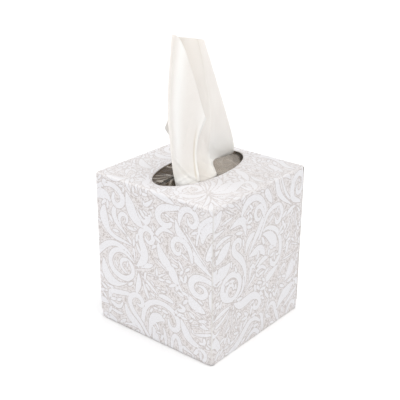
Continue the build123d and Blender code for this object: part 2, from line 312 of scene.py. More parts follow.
# Printed strokes: each is a run of (across, up, width) in millimetres on its own wall.
FRONT_STROKES = [
    [(-60, 52, 5), (-50, 64, 6), (-40, 69.5, 5), (-30, 69.5, 4), (-21, 65, 3.5), (-17, 58, 2)],
    [(-20, 61, 2.5), (-27, 66, 3.5), (-37, 65, 4.5), (-43.5, 57, 5), (-42, 48, 5.5), (-35, 43.5, 5.5),
     (-26, 43, 5), (-19, 48.5, 4.5), (-19.5, 56, 4), (-25.5, 60, 4), (-31.5, 57.5, 3.6), (-32, 51, 3.2),
     (-26.5, 48.5, 2.4)],
    [(-50, 53, 2), (-49.5, 44, 9), (-45, 37, 10), (-36, 35.5, 5), (-29, 38, 2), (-24, 41, 1.2)],
    [(-16, 56, 1.2), (-9, 60, 4), (-3, 62, 5.5), (1, 64, 1.2)], [(-14, 53.5, 1), (-4, 54, 2.6), (6, 57, 1)],
    [(-14, 53, 1), (-13, 46, 6), (-15, 39, 5.5), (-17, 34, 2)],
    [(-12, 52, 1), (-5, 48.5, 3.4), (2, 43, 3.2), (5, 41, 1)],
    [(-10, 49, 1), (-7.5, 42, 4), (-5, 36, 3.2), (-3, 33, 1)],
    [(-15, 58, 2), (-8, 64, 8), (-7, 72, 8), (-10.5, 79, 6), (-11.5, 86, 5), (-7, 91.5, 5),
     (-0.5, 90.5, 5), (2, 85, 4.5), (-1, 80.5, 4), (-5.5, 81, 3), (-6.5, 84.5, 2)],
    [(-17, 60, 1.6), (-17, 70, 2.6), (-22, 77, 3.2), (-29, 82.5, 3.2), (-33, 90, 3.6), (-30, 96, 4),
     (-24.5, 95.5, 3.6), (-23.5, 90.5, 2.6), (-27, 88.5, 1.6)],
    [(-25, 80, 1.5), (-33, 85, 4), (-38, 92, 6), (-37, 98.5, 4.5), (-35, 100, 2)],
    [(-60, 107, 4), (-47, 115.5, 4.5), (-37, 116, 4.8), (-28.5, 111, 5), (-28, 103.5, 5.5),
     (-34, 100, 5), (-39, 104.5, 4.2), (-37, 109.5, 3)],
    [(-58, 103, 5), (-51, 106.5, 9), (-45, 106, 8.5), (-41.5, 103, 3)],
    [(-24.5, 114, 1.5), (-22, 107, 8), (-19, 100, 10.5), (-14, 94, 8), (-9, 91, 2)],
    [(-15, 104, 1), (-11.5, 98, 3), (-5.5, 94.5, 3.4), (-4, 99.5, 8), (-1, 102, 1.5)],
    [(-8, 113, 1), (-8, 108, 3.4), (-2, 111, 4), (2, 116, 1)],
    [(-47, 98, 2), (-49, 91, 9), (-47, 84, 8.5), (-44, 78, 5), (-37, 74.5, 4), (-28, 74, 3.2),
     (-20, 73, 1.5)],
    [(28, 116, 3), (17, 113.5, 6), (7.5, 110.5, 6), (5, 103.5, 6), (10, 98.5, 5), (17, 99, 5),
     (19, 103.5, 2)],
    [(25, 102, 2), (25.5, 110, 5), (30, 116.5, 5), (38, 116.5, 5), (41.8, 110, 5), (38.5, 104.5, 4.4),
     (33.5, 105.5, 3.4), (32.8, 109.5, 2)],
    [(22, 106, 1.5), (23.5, 99, 6), (30, 92, 8.5), (37, 84.5, 7.5), (45, 78, 5.5), (55, 72, 1.5)],
    [(27, 103, 1.2), (36, 94, 2.4), (43, 84, 2.2), (54, 75, 1)],
    [(37, 78, 3), (36, 86, 5), (30, 92, 4.6), (22, 92, 4.6), (18.5, 85.5, 4.4), (22, 79.8, 4),
     (27, 81, 3), (27, 85, 2)],
    [(5, 90, 4), (8, 95, 4.5), (15, 96, 3.5), (21, 94, 1)],
    [(6, 83, 2), (8, 75, 8), (14, 69, 9), (20, 63, 8.5), (23, 56, 5), (29, 52, 1.5)],
    [(17, 77, 1.2), (21, 73.5, 3), (28, 73.5, 1)],
    [(59, 66, 4), (50, 68.5, 4.5), (41, 68, 6), (35.5, 62, 6), (37.5, 55, 5.5), (44.5, 52.5, 5),
     (50.5, 57, 4.4), (48, 62.5, 3.4), (43, 62, 2)],
    [(15, 63.5, 1), (9, 66, 3), (3, 70.5, 1)], [(15, 62, 1), (8.5, 58.5, 3), (2, 53, 1.4)],
    [(33, 53, 1.5), (35, 47, 8), (43, 43.5, 9), (49, 42, 1.5)], [(7, 41, 3), (13, 42, 6), (19, 40, 3)],
    [(-11, 10, 4), (-10, 22, 5), (-4.5, 31, 5), (5, 35.3, 4.6), (15, 34.8, 4.6), (23, 30, 5),
     (25.5, 22, 5), (21.5, 16.5, 4.8), (15.5, 18.5, 4), (15, 24, 2.5)],
    [(-4, 3, 3), (-3, 13, 5), (1, 20.5, 9), (7, 23, 7), (11, 21.5, 2.5)],
    [(-4, 0, 3), (-12, 11, 4), (-20, 17, 5), (-24.5, 25, 5), (-21, 32, 5), (-13.5, 33.5, 5),
     (-9.5, 28.5, 4.4), (-12.5, 24, 3.4), (-16, 26, 2)],
    [(-28, 20, 3), (-26, 13, 7.5), (-18.5, 8.5, 7), (-11, 3, 4), (-8, -2, 2)],
    [(-25, 31, 4), (-36, 28.5, 5), (-44, 27.5, 5), (-45, 20.5, 4.6), (-39.5, 15.5, 4.4),
     (-33, 16.5, 3.6), (-31.5, 21, 2)],
    [(-50, 32, 1), (-46, 30, 4), (-41, 31, 2)], [(-44, 12, 2), (-38, 10, 5), (-32, 11, 2)],
    [(-57, 16, 6), (-51, 17, 7), (-47, 15, 2)], [(-30, 3, 2), (-24, 6, 3), (-17, 5, 2)],
    [(-40, 2, 5), (-46, 5, 6), (-52, 4, 3)], [(0, 12, 2), (2, 6, 8), (3, -2, 8)],
    [(10, 15, 2), (12.5, 9, 4.4), (12, 0, 3)],
    [(18, -2, 3), (18, 9, 4), (22, 14, 4), (26, 9, 4.6), (27, 0, 4)],
    [(27, 29, 1.5), (30, 22, 7.5), (34, 15.5, 7), (42, 12, 4), (48, 12, 1.5)],
    [(38, 0, 3), (40.5, 8, 4), (47, 11, 4), (51, 6.5, 4), (48, 2, 3)],
    [(52, 36, 1), (44, 39, 2.2), (35, 41, 1)], [(52, 34, 1), (44, 30.5, 3), (36, 27, 1)],
    [(55, 27, 2), (46, 22, 4.5), (38, 21, 1)], [(55, 45, 2), (53, 52, 6), (56, 60, 6)],
    [(46, 96, 3), (46, 104, 8), (52, 110, 9), (60, 112, 8)],
    [(41, 92, 2), (42, 103, 3.4), (47, 112, 4), (58, 118, 4)], [(50, 84, 3), (54, 90, 9), (58, 96, 9)],
    [(44, 2, 1), (36, 4, 1.4), (30, 6, 4)],
]
SIDE_STROKES = [
    [(-30, 44, 1.5), (-37, 46, 5), (-44, 52, 5.5), (-44, 61, 5.5), (-37, 66.5, 5), (-28, 64.5, 5),
     (-23, 57, 5), (-25, 49, 4.8), (-31, 44.5, 4.6), (-38, 47.5, 4), (-39.5, 54, 4), (-36, 58.5, 3.4),
     (-31.5, 57, 3), (-31, 53, 2)],
    [(-18, 48, 1.5), (-17, 58, 3.4), (-19, 68, 5), (-25, 76, 6), (-32, 82, 5.5), (-32.5, 89, 4.6),
     (-27, 91, 4.4), (-23, 87, 3.6), (-25, 83, 2)],
    [(-30, 43, 1.5), (-22, 45, 3), (-19, 52, 3), (-20, 60, 1.5)],
    [(-55, 70, 9), (-46, 71, 12), (-40, 72, 8), (-36, 76, 2)],
    [(-52, 80, 2), (-46, 84, 9), (-41, 89, 9), (-37, 91.5, 3)],
    [(-55, 92, 3), (-48, 96, 4), (-40, 97, 3), (-34, 96, 1)],
    [(-36, 102, 2), (-29, 104.5, 6), (-22, 104, 7), (-19, 97, 5), (-18.5, 91, 1.5)],
    [(-23, 108, 3), (-20, 114, 7), (-12, 117, 6), (-3, 115, 5), (3, 108, 5), (4.5, 100, 6), (1, 93, 6.5),
     (-5, 86, 5.5), (-10, 80, 3.5), (-14, 73, 2)],
    [(4, 98, 3), (0, 107.5, 4), (-5, 108, 4), (-8, 104, 4), (-6, 98.5, 4), (-1.5, 97, 3), (0, 100, 2)],
    [(-18, 76, 1.5), (-16, 84, 6), (-11, 88, 6), (-8, 89, 2)],
    [(-14, 72, 1.5), (-9, 73, 5), (-2, 74, 8.5), (3.5, 71, 6), (6, 66, 2)],
    [(3, 84, 2), (9, 82, 6), (14, 77.5, 9), (18.5, 72, 8), (20, 68, 2)],
    [(-3, 82, 1), (4, 88, 3), (12, 86.5, 4), (20, 82, 4.4), (25.5, 74, 4.6), (27, 64, 4.6),
     (24.5, 56, 4.6), (18.5, 53, 4.6), (13.5, 57, 4), (14, 62.5, 2)],
    [(-2, 82, 3), (4, 92, 3), (8, 99, 4.4), (16, 102, 4.6), (24, 100.5, 4.6), (27.5, 93, 4.6),
     (23, 86.5, 4.4), (18, 88, 3.4), (18.5, 92, 2)],
    [(6, 116, 6), (10, 110, 7), (13, 106, 2)],
    [(18, 122, 5), (20, 113, 6), (24, 107, 5), (31, 101, 3), (40, 95, 1.5)],
    [(24, 122, 2), (28, 112, 3), (33, 104, 3), (41, 97, 1.4)],
    [(55, 92, 1), (48, 96, 4), (40.5, 99, 5.4), (38.5, 107, 6), (41, 115, 6), (48, 119, 5), (54, 114, 5),
     (53.5, 105, 4.6), (48, 101, 4.2), (44.5, 105, 3.4), (46, 109, 2)],
    [(45, 93, 1.2), (39, 92, 5.5), (34, 90, 3), (31, 88, 1)], [(45, 91, 1), (46, 82, 3), (45, 74, 1)],
    [(46, 92, 1), (52, 86, 4), (55, 79, 2)], [(44, 90, 1), (40, 82, 2.6), (38, 74, 1)],
    [(29, 76, 1), (34, 69, 3), (37, 61, 5), (34, 56, 1.5)], [(40, 63, 1), (47, 60, 3), (53, 57, 1)],
    [(28, 53, 1), (36, 52, 3), (45, 53, 1.4)], [(-12, 50, 1), (-12, 60, 4), (-8.5, 64.5, 4), (-6, 60, 2)],
    [(-18, 45, 1), (-10, 51, 3), (-3, 57.5, 3.6), (4, 58.5, 3.6), (8, 54, 2.4)],
    [(-4, 60, 1.4), (1, 62, 4.6), (7, 64, 5), (11, 62, 1)],
    [(5, 41, 2), (11, 45, 8), (18, 48.5, 6), (24, 50.5, 2)], [(-1, 46, 3), (3, 45, 3), (4, 43, 1)],
    [(-30, 41, 2), (-24, 36, 7), (-16, 37, 8.5), (-8, 38.5, 7), (0, 34.5, 5), (3, 28.5, 4.8),
     (-1, 24.5, 4.4), (-6, 27, 3.8), (-5, 31, 2)],
    [(-31, 41, 1.2), (-31, 34, 4), (-27.5, 29, 5), (-23, 26, 1)],
    [(-33, 41, 1.2), (-41, 40, 4.6), (-49, 38, 4), (-54, 36, 1)],
    [(-34, 40, 1), (-41, 34, 3), (-50, 30, 3.4), (-55, 29, 1)], [(-34, 38, 1), (-37, 29, 3), (-43, 21, 1)],
    [(-32, 38, 1), (-31, 28, 2.6), (-33, 18, 1)], [(-30, 36, 1), (-26, 26, 2.6), (-24, 16, 1)],
    [(-52, 22, 3), (-48, 15, 9), (-46, 9, 3)], [(-40, 8, 2), (-34, 8, 5), (-28, 10, 2)],
    [(-34, 1, 5), (-24, 4, 6), (-17, 11, 6), (-10, 17.5, 5), (-2, 17, 4), (4, 11, 2)],
    [(-14, 2, 2), (-8, 6, 4), (-2, 7, 4), (2, 2, 4)], [(1, 18, 1), (5, 18, 4), (7, 9, 4), (7, 2, 2)],
    [(7, 38, 1), (9, 32, 3), (13, 29, 3.4), (14, 24, 1)],
    [(14, 26, 2), (11, 16, 4), (13, 10, 3.4), (17, 9, 2)],
    [(12, 15, 2), (15, 20.5, 4), (21, 20, 4), (24, 12, 5), (27, 4, 4), (30, -2, 2)],
    [(17, 35, 1), (24, 33, 3), (27, 27, 3), (27, 20, 1)],
    [(26, 39, 1), (29, 47, 3), (35, 48.5, 3), (33, 43, 1)],
    [(35, 33, 2), (40, 37, 9), (44, 43, 9), (44, 48, 2)],
    [(26, 12, 2), (32, 20, 9), (40, 22.5, 11), (46, 26, 3)], [(55, 44, 2), (52, 36, 3), (54, 28, 2)],
    [(35, 10, 2), (42, 13, 4), (50, 19, 4), (55, 20, 3)], [(40, 2, 3), (43, 8, 4), (49, 10, 4), (51, 5, 3)],
    [(-55, 110, 9), (-50, 114, 10), (-47, 118, 3)], [(-46, 108, 1.6), (-39, 109, 4), (-33, 110, 1)],
    [(-55, 102, 4), (-48, 103, 3), (-42, 104, 1)], [(-44, 119, 1), (-38, 114, 3), (-31, 111, 1)],
    [(-34, 121, 1), (-28, 116, 3), (-24, 111, 1)],
]
TOP_STROKES = [
    [(32.5, -35, 1.5), (32.5, -40.5, 4.5), (29, -46.5, 6), (22, -49, 6), (15, -45, 5), (13, -36.5, 4.6),
     (16, -30.5, 4.6), (23, -29.5, 4.6), (27, -33.5, 4), (25.5, -38.5, 2)],
    [(18.5, -24.5, 1), (24, -26.5, 3.4), (31.5, -33.5, 1.2)],
    [(17.5, -19, 1), (24, -21.5, 3.6), (31.5, -32, 1.2)],
    [(18.5, -14.5, 1), (25.5, -16, 4.4), (31.5, -27, 4), (32, -31.5, 1.2)],
    [(20.5, -6, 1.5), (28, -12, 4.6), (32.5, -22, 4.6), (33.5, -31.5, 1.2)],
    [(33.5, -32, 1), (38.5, -26, 7), (34.5, -14.5, 9), (33.5, -6.5, 1.5)],
    [(35.5, -33.5, 1), (44.5, -24.5, 7), (39, -9.5, 8), (39, -3, 5.5), (43.5, 1.5, 5), (51, -2, 5),
     (53, -9.5, 4.6), (48.5, -11, 4), (43.5, -9, 2)],
    [(35.5, -35, 1), (45.5, -33.5, 4.4), (49, -26, 1.2)],
    [(37.5, -36.5, 1), (47, -40, 4.4), (54.5, -36.5, 1.2)],
    [(38.5, -39, 1), (48.5, -46, 5), (54.5, -47.5, 1.2)],
    [(34, -36.5, 1), (39, -45.5, 5.4), (36, -53, 1.4)],
    [(36.5, -37, 1), (45, -47, 5.6), (45.5, -54.5, 1.2)],
    [(45.5, -45.5, 1), (52, -53, 6.5), (54.5, -58.5, 1.5)],
    [(40.5, -52, 1), (40, -56.5, 5), (37.5, -58, 1.2)], [(22.5, 12.5, 1.5), (27.5, 13.5, 12), (40.5, 3, 2)],
    [(25.5, -8.5, 1), (24, -2.5, 5), (27.5, 1, 1.2)], [(37, 11.5, 1), (44.5, 5.5, 7), (51.5, 9.5, 1.4)],
    [(33, 18.5, 1), (39, 18.5, 3.4), (41.5, 24, 1)], [(33.5, 38.5, 1.5), (40.5, 36, 11), (50, 33, 1.5)],
    [(49.5, -18.5, 1), (51, -15, 3.4), (53, -12, 1)], [(31, 26, 1), (34.5, 28.5, 4), (40.5, 26.5, 1)],
    [(17, 25, 1), (19.5, 30, 6), (27, 30, 1.2)], [(55, 26, 1.2), (54.5, 34, 6), (59.5, 36, 1.4)],
    [(-19, -34.5, 1.5), (-15.5, -48, 11), (-3, -54, 2)], [(-2.5, -54, 1.2), (9, -56, 9), (20, -58.5, 2)],
    [(12, -49, 1), (13, -44, 4), (20.5, -51.5, 4), (18, -55, 2)],
    [(-45.5, -53.5, 1), (-34.5, -56, 9), (-27.5, -51, 1.2)],
    [(-26.5, -46, 1), (-26, -53.5, 6.5), (-20, -61, 1.2)],
    [(-48, -13.5, 1.5), (-36.5, -26.5, 12), (-28.5, -22.5, 1.4)],
    [(-27, -40.5, 1), (-31.5, -33, 5.5), (-29, -30, 1)],
    [(-47, -54, 1), (-53, -46, 5.5), (-48.5, -44.5, 1)],
    [(-32, -47.5, 1), (-40.5, -38, 4.4), (-37.5, -33, 4), (-30.5, -37.5, 1)],
    [(-2.5, -60.5, 1), (-8, -54, 4.6), (-2.5, -54.5, 1)],
    [(-13, -59, 1), (-17.5, -52.5, 4.6), (-12.5, -52.5, 1)],
    [(-50, -40, 1), (-50, -33.5, 4.4), (-44, -31, 4), (-38, -35.5, 1)],
    [(-37, -13.5, 1), (-38.5, -6.5, 4), (-30.5, -10.5, 3.6), (-31.5, -16.5, 1.4)],
    [(-42, -45, 1), (-36.5, -47.5, 3.4), (-36, -44, 1)], [(-42.5, -25, 1), (-49, -23, 4), (-51, -16.5, 1)],
    [(-18.5, -32.5, 1), (-26, -28.5, 4), (-27, -21.5, 1)],
    [(-46.5, -63, 1), (-49.5, -56.5, 5.5), (-43.5, -59, 1)],
    [(-28, 4, 1.4), (-34, 0, 6), (-42, -1, 7), (-49, 3, 2)],
    [(-28, 16, 1.4), (-35, 11, 4.6), (-44, 11, 4.6), (-50, 17, 4.6), (-47, 24, 4), (-42, 22, 2.4)],
    [(-26, 28, 1.4), (-32, 25, 6), (-38, 29, 7), (-40, 35, 2)],
    [(-20, 40, 1.4), (-28, 38, 4.4), (-34, 44, 5), (-42, 47, 5), (-50, 43, 4.6), (-50, 36, 4), (-45, 34, 2)],
    [(-10, 50, 1.4), (-20, 50, 5), (-30, 54, 5), (-40, 55, 3)],
    [(12, 45, 1.6), (18, 50, 4.4), (28, 52, 5), (38, 49, 5), (46, 43, 4.6), (52, 44, 3)],
]
FIELD_FAR, STROKE_STEP, STROKE_REACH, STROKE_LINE = 6.0, 0.35, 5, 0.45
SPRIG_FAN = np.linspace(-1.3, 1.3, 5)
LEAF_AHEAD, LEAF_ASIDE = np.array([1.2, 4.4, 8.4]), np.array([0, 0.6, 1.4])
STEM_WIDTH, LEAF_WIDTH, TIP_WIDTH = 0.7, 5, 0.5
STROKE_CLEAR, LEAF_APART, SPRIG_SEED = 0.9, 3.3, 5
WALL_HALF, SIDE_FOOT, EDGE_STEP, OVAL_STEPS = 54, 176, 1.5, 180


def pulled_curve(rows, at):
    """The smooth curve that starts and ends on the rows' ends and is pulled by the rest, at places."""
    rows = np.asarray(rows, float)
    spans = len(rows) - 2
    knots = np.array([0, 0, *range(spans + 1), spans, spans], float)
    first = np.minimum(at.astype(int), spans - 1)
    near = [rows[first + k] for k in range(3)]
    shape = (len(at),) + (1,) * (rows.ndim - 1)
    for level in (1, 2):
        for k in range(2, level - 1, -1):
            low, high = knots[first + k], knots[first + 3 + k - level]
            part = ((at - low) / (high - low)).reshape(shape)
            near[k] = near[k - 1] * (1 - part) + near[k] * part
    return near[2]


def smooth_path(stroke, step):
    """Even samples along a stroke's smooth curve."""
    reach = np.hypot(*np.diff(np.array(stroke, float)[:, :2], axis=0).T).sum()
    return pulled_curve(stroke, np.linspace(0, len(stroke) - 2, max(int(reach / step), 4)))


def from_strokes(points, strokes):
    """How far each flat point lies outside the printed strokes, less than nothing inside one. Within
    its own line a stroke covers the ones before it."""
    far = np.full(len(points), FIELD_FAR)
    for stroke in strokes:
        path = smooth_path(stroke, STROKE_STEP)
        reach = path[:, 2].max() / 2 + STROKE_REACH
        low, high = path[:, :2].min(0) - reach, path[:, :2].max(0) + reach
        near = np.nonzero(((points > low) & (points < high)).all(1))[0]
        if len(near) == 0:
            continue
        gap = np.hypot(points[near, None, 0] - path[:, 0], points[near, None, 1] - path[:, 1])
        gap = (gap - path[:, 2] / 2).min(1)
        far[near] = np.where(gap < STROKE_LINE, gap, np.minimum(far[near], gap))
    return far


def leaf_sprigs(strokes, low, high, count):
    """Sprigs of small pointed leaves, fanned from a stem's end, in one wall's open ground."""
    chance = np.random.default_rng(SPRIG_SEED)
    stems = chance.uniform(low, high, (count, 2))
    heading = chance.uniform(0, 2 * pi, count)
    size = chance.uniform(0.75, 1.25, count)
    leaves = []
    for index in np.argsort(-size):
        for turn in SPRIG_FAN:
            way = heading[index] + turn
            ahead = np.array((np.cos(way), np.sin(way)))
            aside = np.array((-ahead[1], ahead[0])) * np.sign(turn) * 0.8
            spread = LEAF_AHEAD * size[index] * (1.15 - 0.2 * abs(turn))
            places = stems[index] + ahead * spread[:, None] + aside * LEAF_ASIDE[:, None]
            leaves.append((places, size[index]))
    spots = np.array([places for places, _ in leaves])
    clear = from_strokes(spots[:, 1:].reshape(-1, 2), strokes).reshape(-1, 2).min(1) > STROKE_CLEAR
    kept, middles = [], np.empty((0, 2))
    for (places, large), open_ground in zip(leaves, clear):
        apart = np.hypot(*(middles - places[1]).T).min() if len(middles) else np.inf
        if open_ground and apart > LEAF_APART:
            widths = (STEM_WIDTH, LEAF_WIDTH * large, TIP_WIDTH)
            kept.append([(*place, width) for place, width in zip(places, widths)])
            middles = np.vstack([middles, places[1]])
    return kept


# The strokes on the flat sheet: front and right walls, top, then the rear and left walls, which
# repeat the right wall's strokes and the front's. Sprigs fill the open ground of each in turn.
SIDE_LOW = S_SIDE + HEIGHT - CREASE
printed = [[(x, z - WALL_TOP, w) for x, z, w in stroke] for stroke in FRONT_STROKES]
printed += [[(SIDE_LOW - z, y, w) for y, z, w in stroke] for stroke in SIDE_STROKES]
printed += TOP_STROKES
printed += [[(x, WALL_TOP - z, w) for x, z, w in stroke] for stroke in SIDE_STROKES]
printed += [[(z - SIDE_LOW, -y, w) for y, z, w in stroke] for stroke in FRONT_STROKES]
for left, low, right, high, count in ((-WALL_HALF, -WALL_TOP, WALL_HALF, -WALL_HALF, 240),
                                      (-WALL_HALF, -WALL_HALF, WALL_HALF, WALL_HALF, 380),
                                      (WALL_HALF, -WALL_HALF, SIDE_FOOT, WALL_HALF, 240),
                                      (-WALL_HALF, WALL_HALF, WALL_HALF, WALL_TOP, 240),
                                      (-SIDE_FOOT, -WALL_HALF, -WALL_HALF, WALL_HALF, 240)):
    printed += leaf_sprigs(printed, (left, low), (right, high), count)


def add_field(mesh, name, values):
    """Values stored at the mesh's points, for its material to read."""
    field = mesh.attributes.new(name, "FLOAT", "POINT")
    field.data.foreach_set("value", values.ravel().astype(np.float32))


edge_points = np.array(along_edges(cut_outline(), EDGE_STEP))
angles = np.linspace(0, 2 * pi, OVAL_STEPS + 1)[:-1]
oval_points = np.stack([OVAL[0] + OVAL[2] * np.cos(angles), OVAL[1] + OVAL[3] * np.sin(angles)], -1)
outer_flat, outer_faces = triangulated(edge_points, oval_points, inside_grid(True))
inner_flat, inner_faces = triangulated(edge_points, oval_points, inside_grid(False))
outer = folded(outer_flat[:, 0], outer_flat[:, 1], 0.0)
inner = folded(inner_flat[:, 0], inner_flat[:, 1], BOARD)
shift = len(outer)
rim = [(b, a, shift + a, shift + b) for a, b in ring_pairs(0, len(edge_points))]
rim += [(a, b, shift + b, shift + a) for a, b in ring_pairs(len(edge_points), len(oval_points))]
faces = [tuple(face) for face in outer_faces] + [tuple(shift + face[::-1]) for face in inner_faces] + rim
carton_mesh = bpy.data.meshes.new("printed_carton")
carton_mesh.from_pydata(np.concatenate([outer, inner]) * MM, [], faces)
side = np.repeat([0, 1, 2], [len(outer_faces), len(inner_faces), len(rim)]).astype(np.int32)
carton_mesh.polygons.foreach_set("material_index", side)
carton_mesh.polygons.foreach_set("use_smooth", side == 0)
unprinted = np.full(len(inner), FIELD_FAR)
add_field(carton_mesh, "from_stroke", np.append(from_strokes(outer_flat, printed), unprinted))
add_field(carton_mesh, "from_crease", np.append(from_crease(*outer_flat.T), unprinted))
carton = put_in_scene("printed_carton", carton_mesh)


def new_group(name, inputs, outputs):
    """An empty shader group, the outputs of its input node, and its output node."""
    group = bpy.data.node_groups.new(name, "ShaderNodeTree")
    group.interface.new_socket("Place", in_out="INPUT", socket_type="NodeSocketVector")
    for label, value in inputs.items():
        socket = group.interface.new_socket(label, in_out="INPUT", socket_type="NodeSocketFloat")
        socket.default_value = value
    for label in outputs:
        group.interface.new_socket(label, in_out="OUTPUT", socket_type="NodeSocketFloat")
    return group, group.nodes.new("NodeGroupInput").outputs, group.nodes.new("NodeGroupOutput")


def new_node(tree, kind, fed, **settings):
    """The outputs of a new node with the settings, its inputs fed."""
    node = tree.nodes.new(kind)
    for label, value in settings.items():
        setattr(node, label, value)
    feed(node, fed)
    return node.outputs


def math_node(tree, operation, *values):
    """Sockets and plain numbers put together by a math node."""
    return new_node(tree, "ShaderNodeMath", dict(enumerate(values)), operation=operation)[0]


def times(tree, first, second):
    """One value times another."""
    return math_node(tree, "MULTIPLY", first, second)


def ramp_between(tree, value, low, high, start=0.0, end=1.0):
    """The value eased from start to end as it goes from low to high."""
    fed = {"Value": value, "From Min": low, "From Max": high, "To Min": start, "To Max": end}
    return new_node(tree, "ShaderNodeMapRange", fed, interpolation_type="SMOOTHSTEP")["Result"]


def mixed(tree, share, first, second):
    """Two colours mixed by a share; each is a socket or a colour."""
    colour_a, colour_b, colour_out = 6, 7, 2
    first, second = ((*part, 1) if isinstance(part, tuple) else part for part in (first, second))
    fed = {"Factor": share, colour_a: first, colour_b: second}
    return new_node(tree, "ShaderNodeMix", fed, data_type="RGBA")[colour_out]


def object_place(tree):
    """The piece's own coordinates."""
    return new_node(tree, "ShaderNodeTexCoord", {})["Object"]


def height_of(tree, place):
    """How high up a place is."""
    return new_node(tree, "ShaderNodeSeparateXYZ", {0: place})["Z"]


def stored_field(tree, name):
    """Values stored at the mesh's points, in its material."""
    return new_node(tree, "ShaderNodeAttribute", {}, attribute_name=name)["Fac"]


def noise(tree, place, scale, detail=2.0, roughness=0.5):
    """Smooth noise at the place."""
    fed = {"Vector": place, "Scale": scale, "Detail": detail, "Roughness": roughness}
    return new_node(tree, "ShaderNodeTexNoise", fed)["Fac"]


# Paper grain, shared by the board and the tissues: pressed fibres that lift and tint the surface.
GRAIN_DEPTH = 0.0002
grain, grain_in, grain_out = new_group(
    "paper_grain", {"Fibre Scale": 900.0, "Cloud Scale": 60.0}, ["Height", "Tone"])
fibre = noise(grain, grain_in["Place"], grain_in["Fibre Scale"], 4.0, 0.65)
cloud = noise(grain, grain_in["Place"], grain_in["Cloud Scale"], 3.0)
tone = math_node(grain, "ADD", times(grain, cloud, 0.7), times(grain, fibre, 0.3))
feed(grain_out, {"Height": fibre, "Tone": ramp_between(grain, tone, 0.32, 0.68)})


def add_grain(tree, place, fibre_scale, cloud_scale, lift):
    """The paper grain in a material, its lift wired to the surface; gives its tone."""
    fed = {"Place": place, "Fibre Scale": fibre_scale, "Cloud Scale": cloud_scale}
    made = new_node(tree, "ShaderNodeGroup", fed, node_tree=grain)
    fed = {"Strength": lift, "Distance": GRAIN_DEPTH, "Height": made["Height"]}
    bump = new_node(tree, "ShaderNodeBump", fed)
    feed(tree.nodes["Principled BSDF"], {"Normal": bump["Normal"]})
    return made["Tone"]


# Printed stipple between the leaves: uneven specks, crowded in places and thinner in others.
stipple, stipple_in, stipple_out = new_group("printed_stipple", {"Speck Scale": 1150.0}, ["Specks"])
specks = new_node(stipple, "ShaderNodeTexVoronoi",
                  {"Vector": stipple_in["Place"], "Scale": stipple_in["Speck Scale"]})
crowding = ramp_between(stipple, noise(stipple, stipple_in["Place"], 380.0), 0.3, 0.7)
reach = math_node(stipple, "ADD", times(stipple, crowding, 0.5), 0.2)
edge = math_node(stipple, "SUBTRACT", reach, specks["Distance"])
feed(stipple_out, {"Specks": ramp_between(stipple, edge, -0.1, 0.08)})

# Print colours: bare white and its grain, the ground and its specks, the line round each stroke.
PRINT_WHITE, WHITE_GRAIN, WHITE_CLOUD = (0.75, 0.745, 0.765), (0.66, 0.645, 0.655), (0.7, 0.69, 0.67)
GROUND_LIGHT, SPECK, OUTLINE = (0.7, 0.67, 0.665), (0.49, 0.445, 0.425), (0.5, 0.46, 0.45)
# Painted light that lightens the top panel, then the white where creases are rubbed
TOP_PAINTED_LIGHT, RUBBED_WHITE = (0.8, 0.785, 0.785), (0.8, 0.78, 0.76)
print_finish, tree, shader = new_finish("printed_board")
place = object_place(tree)
tone = add_grain(tree, place, 700.0, 45.0, 0.06)
wander = math_node(tree, "SUBTRACT", noise(tree, place, 800.0), 0.5)
gap = math_node(tree, "MULTIPLY_ADD", wander, 0.4, stored_field(tree, "from_stroke"))
specks = new_node(tree, "ShaderNodeGroup", {"Place": place, "Speck Scale": 1350.0}, node_tree=stipple)
colour = mixed(tree, specks["Specks"], GROUND_LIGHT, SPECK)
# Across a stroke's edge, in millimetres: a faint pale echo outside it, its line, its white inside
echo = times(tree, ramp_between(tree, gap, 0.4, 0.6), ramp_between(tree, gap, 1.2, 1.0))
colour = mixed(tree, times(tree, echo, 0.5), colour, PRINT_WHITE)
line = times(tree, ramp_between(tree, gap, -0.5, -0.3), ramp_between(tree, gap, 0.3, 0.1))
broken = ramp_between(tree, noise(tree, place, 1250.0, 1.0), 0.4, 0.6, 0.35, 1.0)
colour = mixed(tree, times(tree, line, broken), colour, OUTLINE)
mottle = ramp_between(tree, noise(tree, place, 1500.0), 0.45, 0.68, 0.0, 0.9)
white = mixed(tree, mottle, PRINT_WHITE, WHITE_GRAIN)
colour = mixed(tree, ramp_between(tree, gap, -0.22, -0.42), colour, white)
colour = mixed(tree, times(tree, tone, 0.05), colour, WHITE_CLOUD)
# Painted light: the top panel is lightened, as if lit more strongly than the walls
upper = ramp_between(tree, height_of(tree, place), 0.1195, 0.1215, 0.0, 0.24)
colour = mixed(tree, upper, colour, TOP_PAINTED_LIGHT)
rub = times(tree, noise(tree, place, 260.0, 3.0), 1.5)
rubbed = math_node(tree, "SUBTRACT", rub, stored_field(tree, "from_crease"))
colour = mixed(tree, ramp_between(tree, rubbed, 0.0, 0.9, 0.0, 0.45), colour, RUBBED_WHITE)
feed(shader, {"Base Color": colour, "Roughness": ramp_between(tree, tone, 0.0, 1.0, 0.4, 0.5)})
carton_mesh.materials.append(print_finish)
for name, dark, light in (("inner_board", (0.28, 0.24, 0.2), (0.36, 0.32, 0.27)),
                          ("cut_board", (0.72, 0.7, 0.67), (0.82, 0.8, 0.77))):
    bare_finish, tree, shader = new_finish(name)
    tone = add_grain(tree, object_place(tree), 1300.0, 90.0, 0.2)
    feed(shader, {"Base Color": mixed(tree, tone, dark, light), "Roughness": 0.88})
    carton_mesh.materials.append(bare_finish)
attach(carton, "root")
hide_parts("carton")


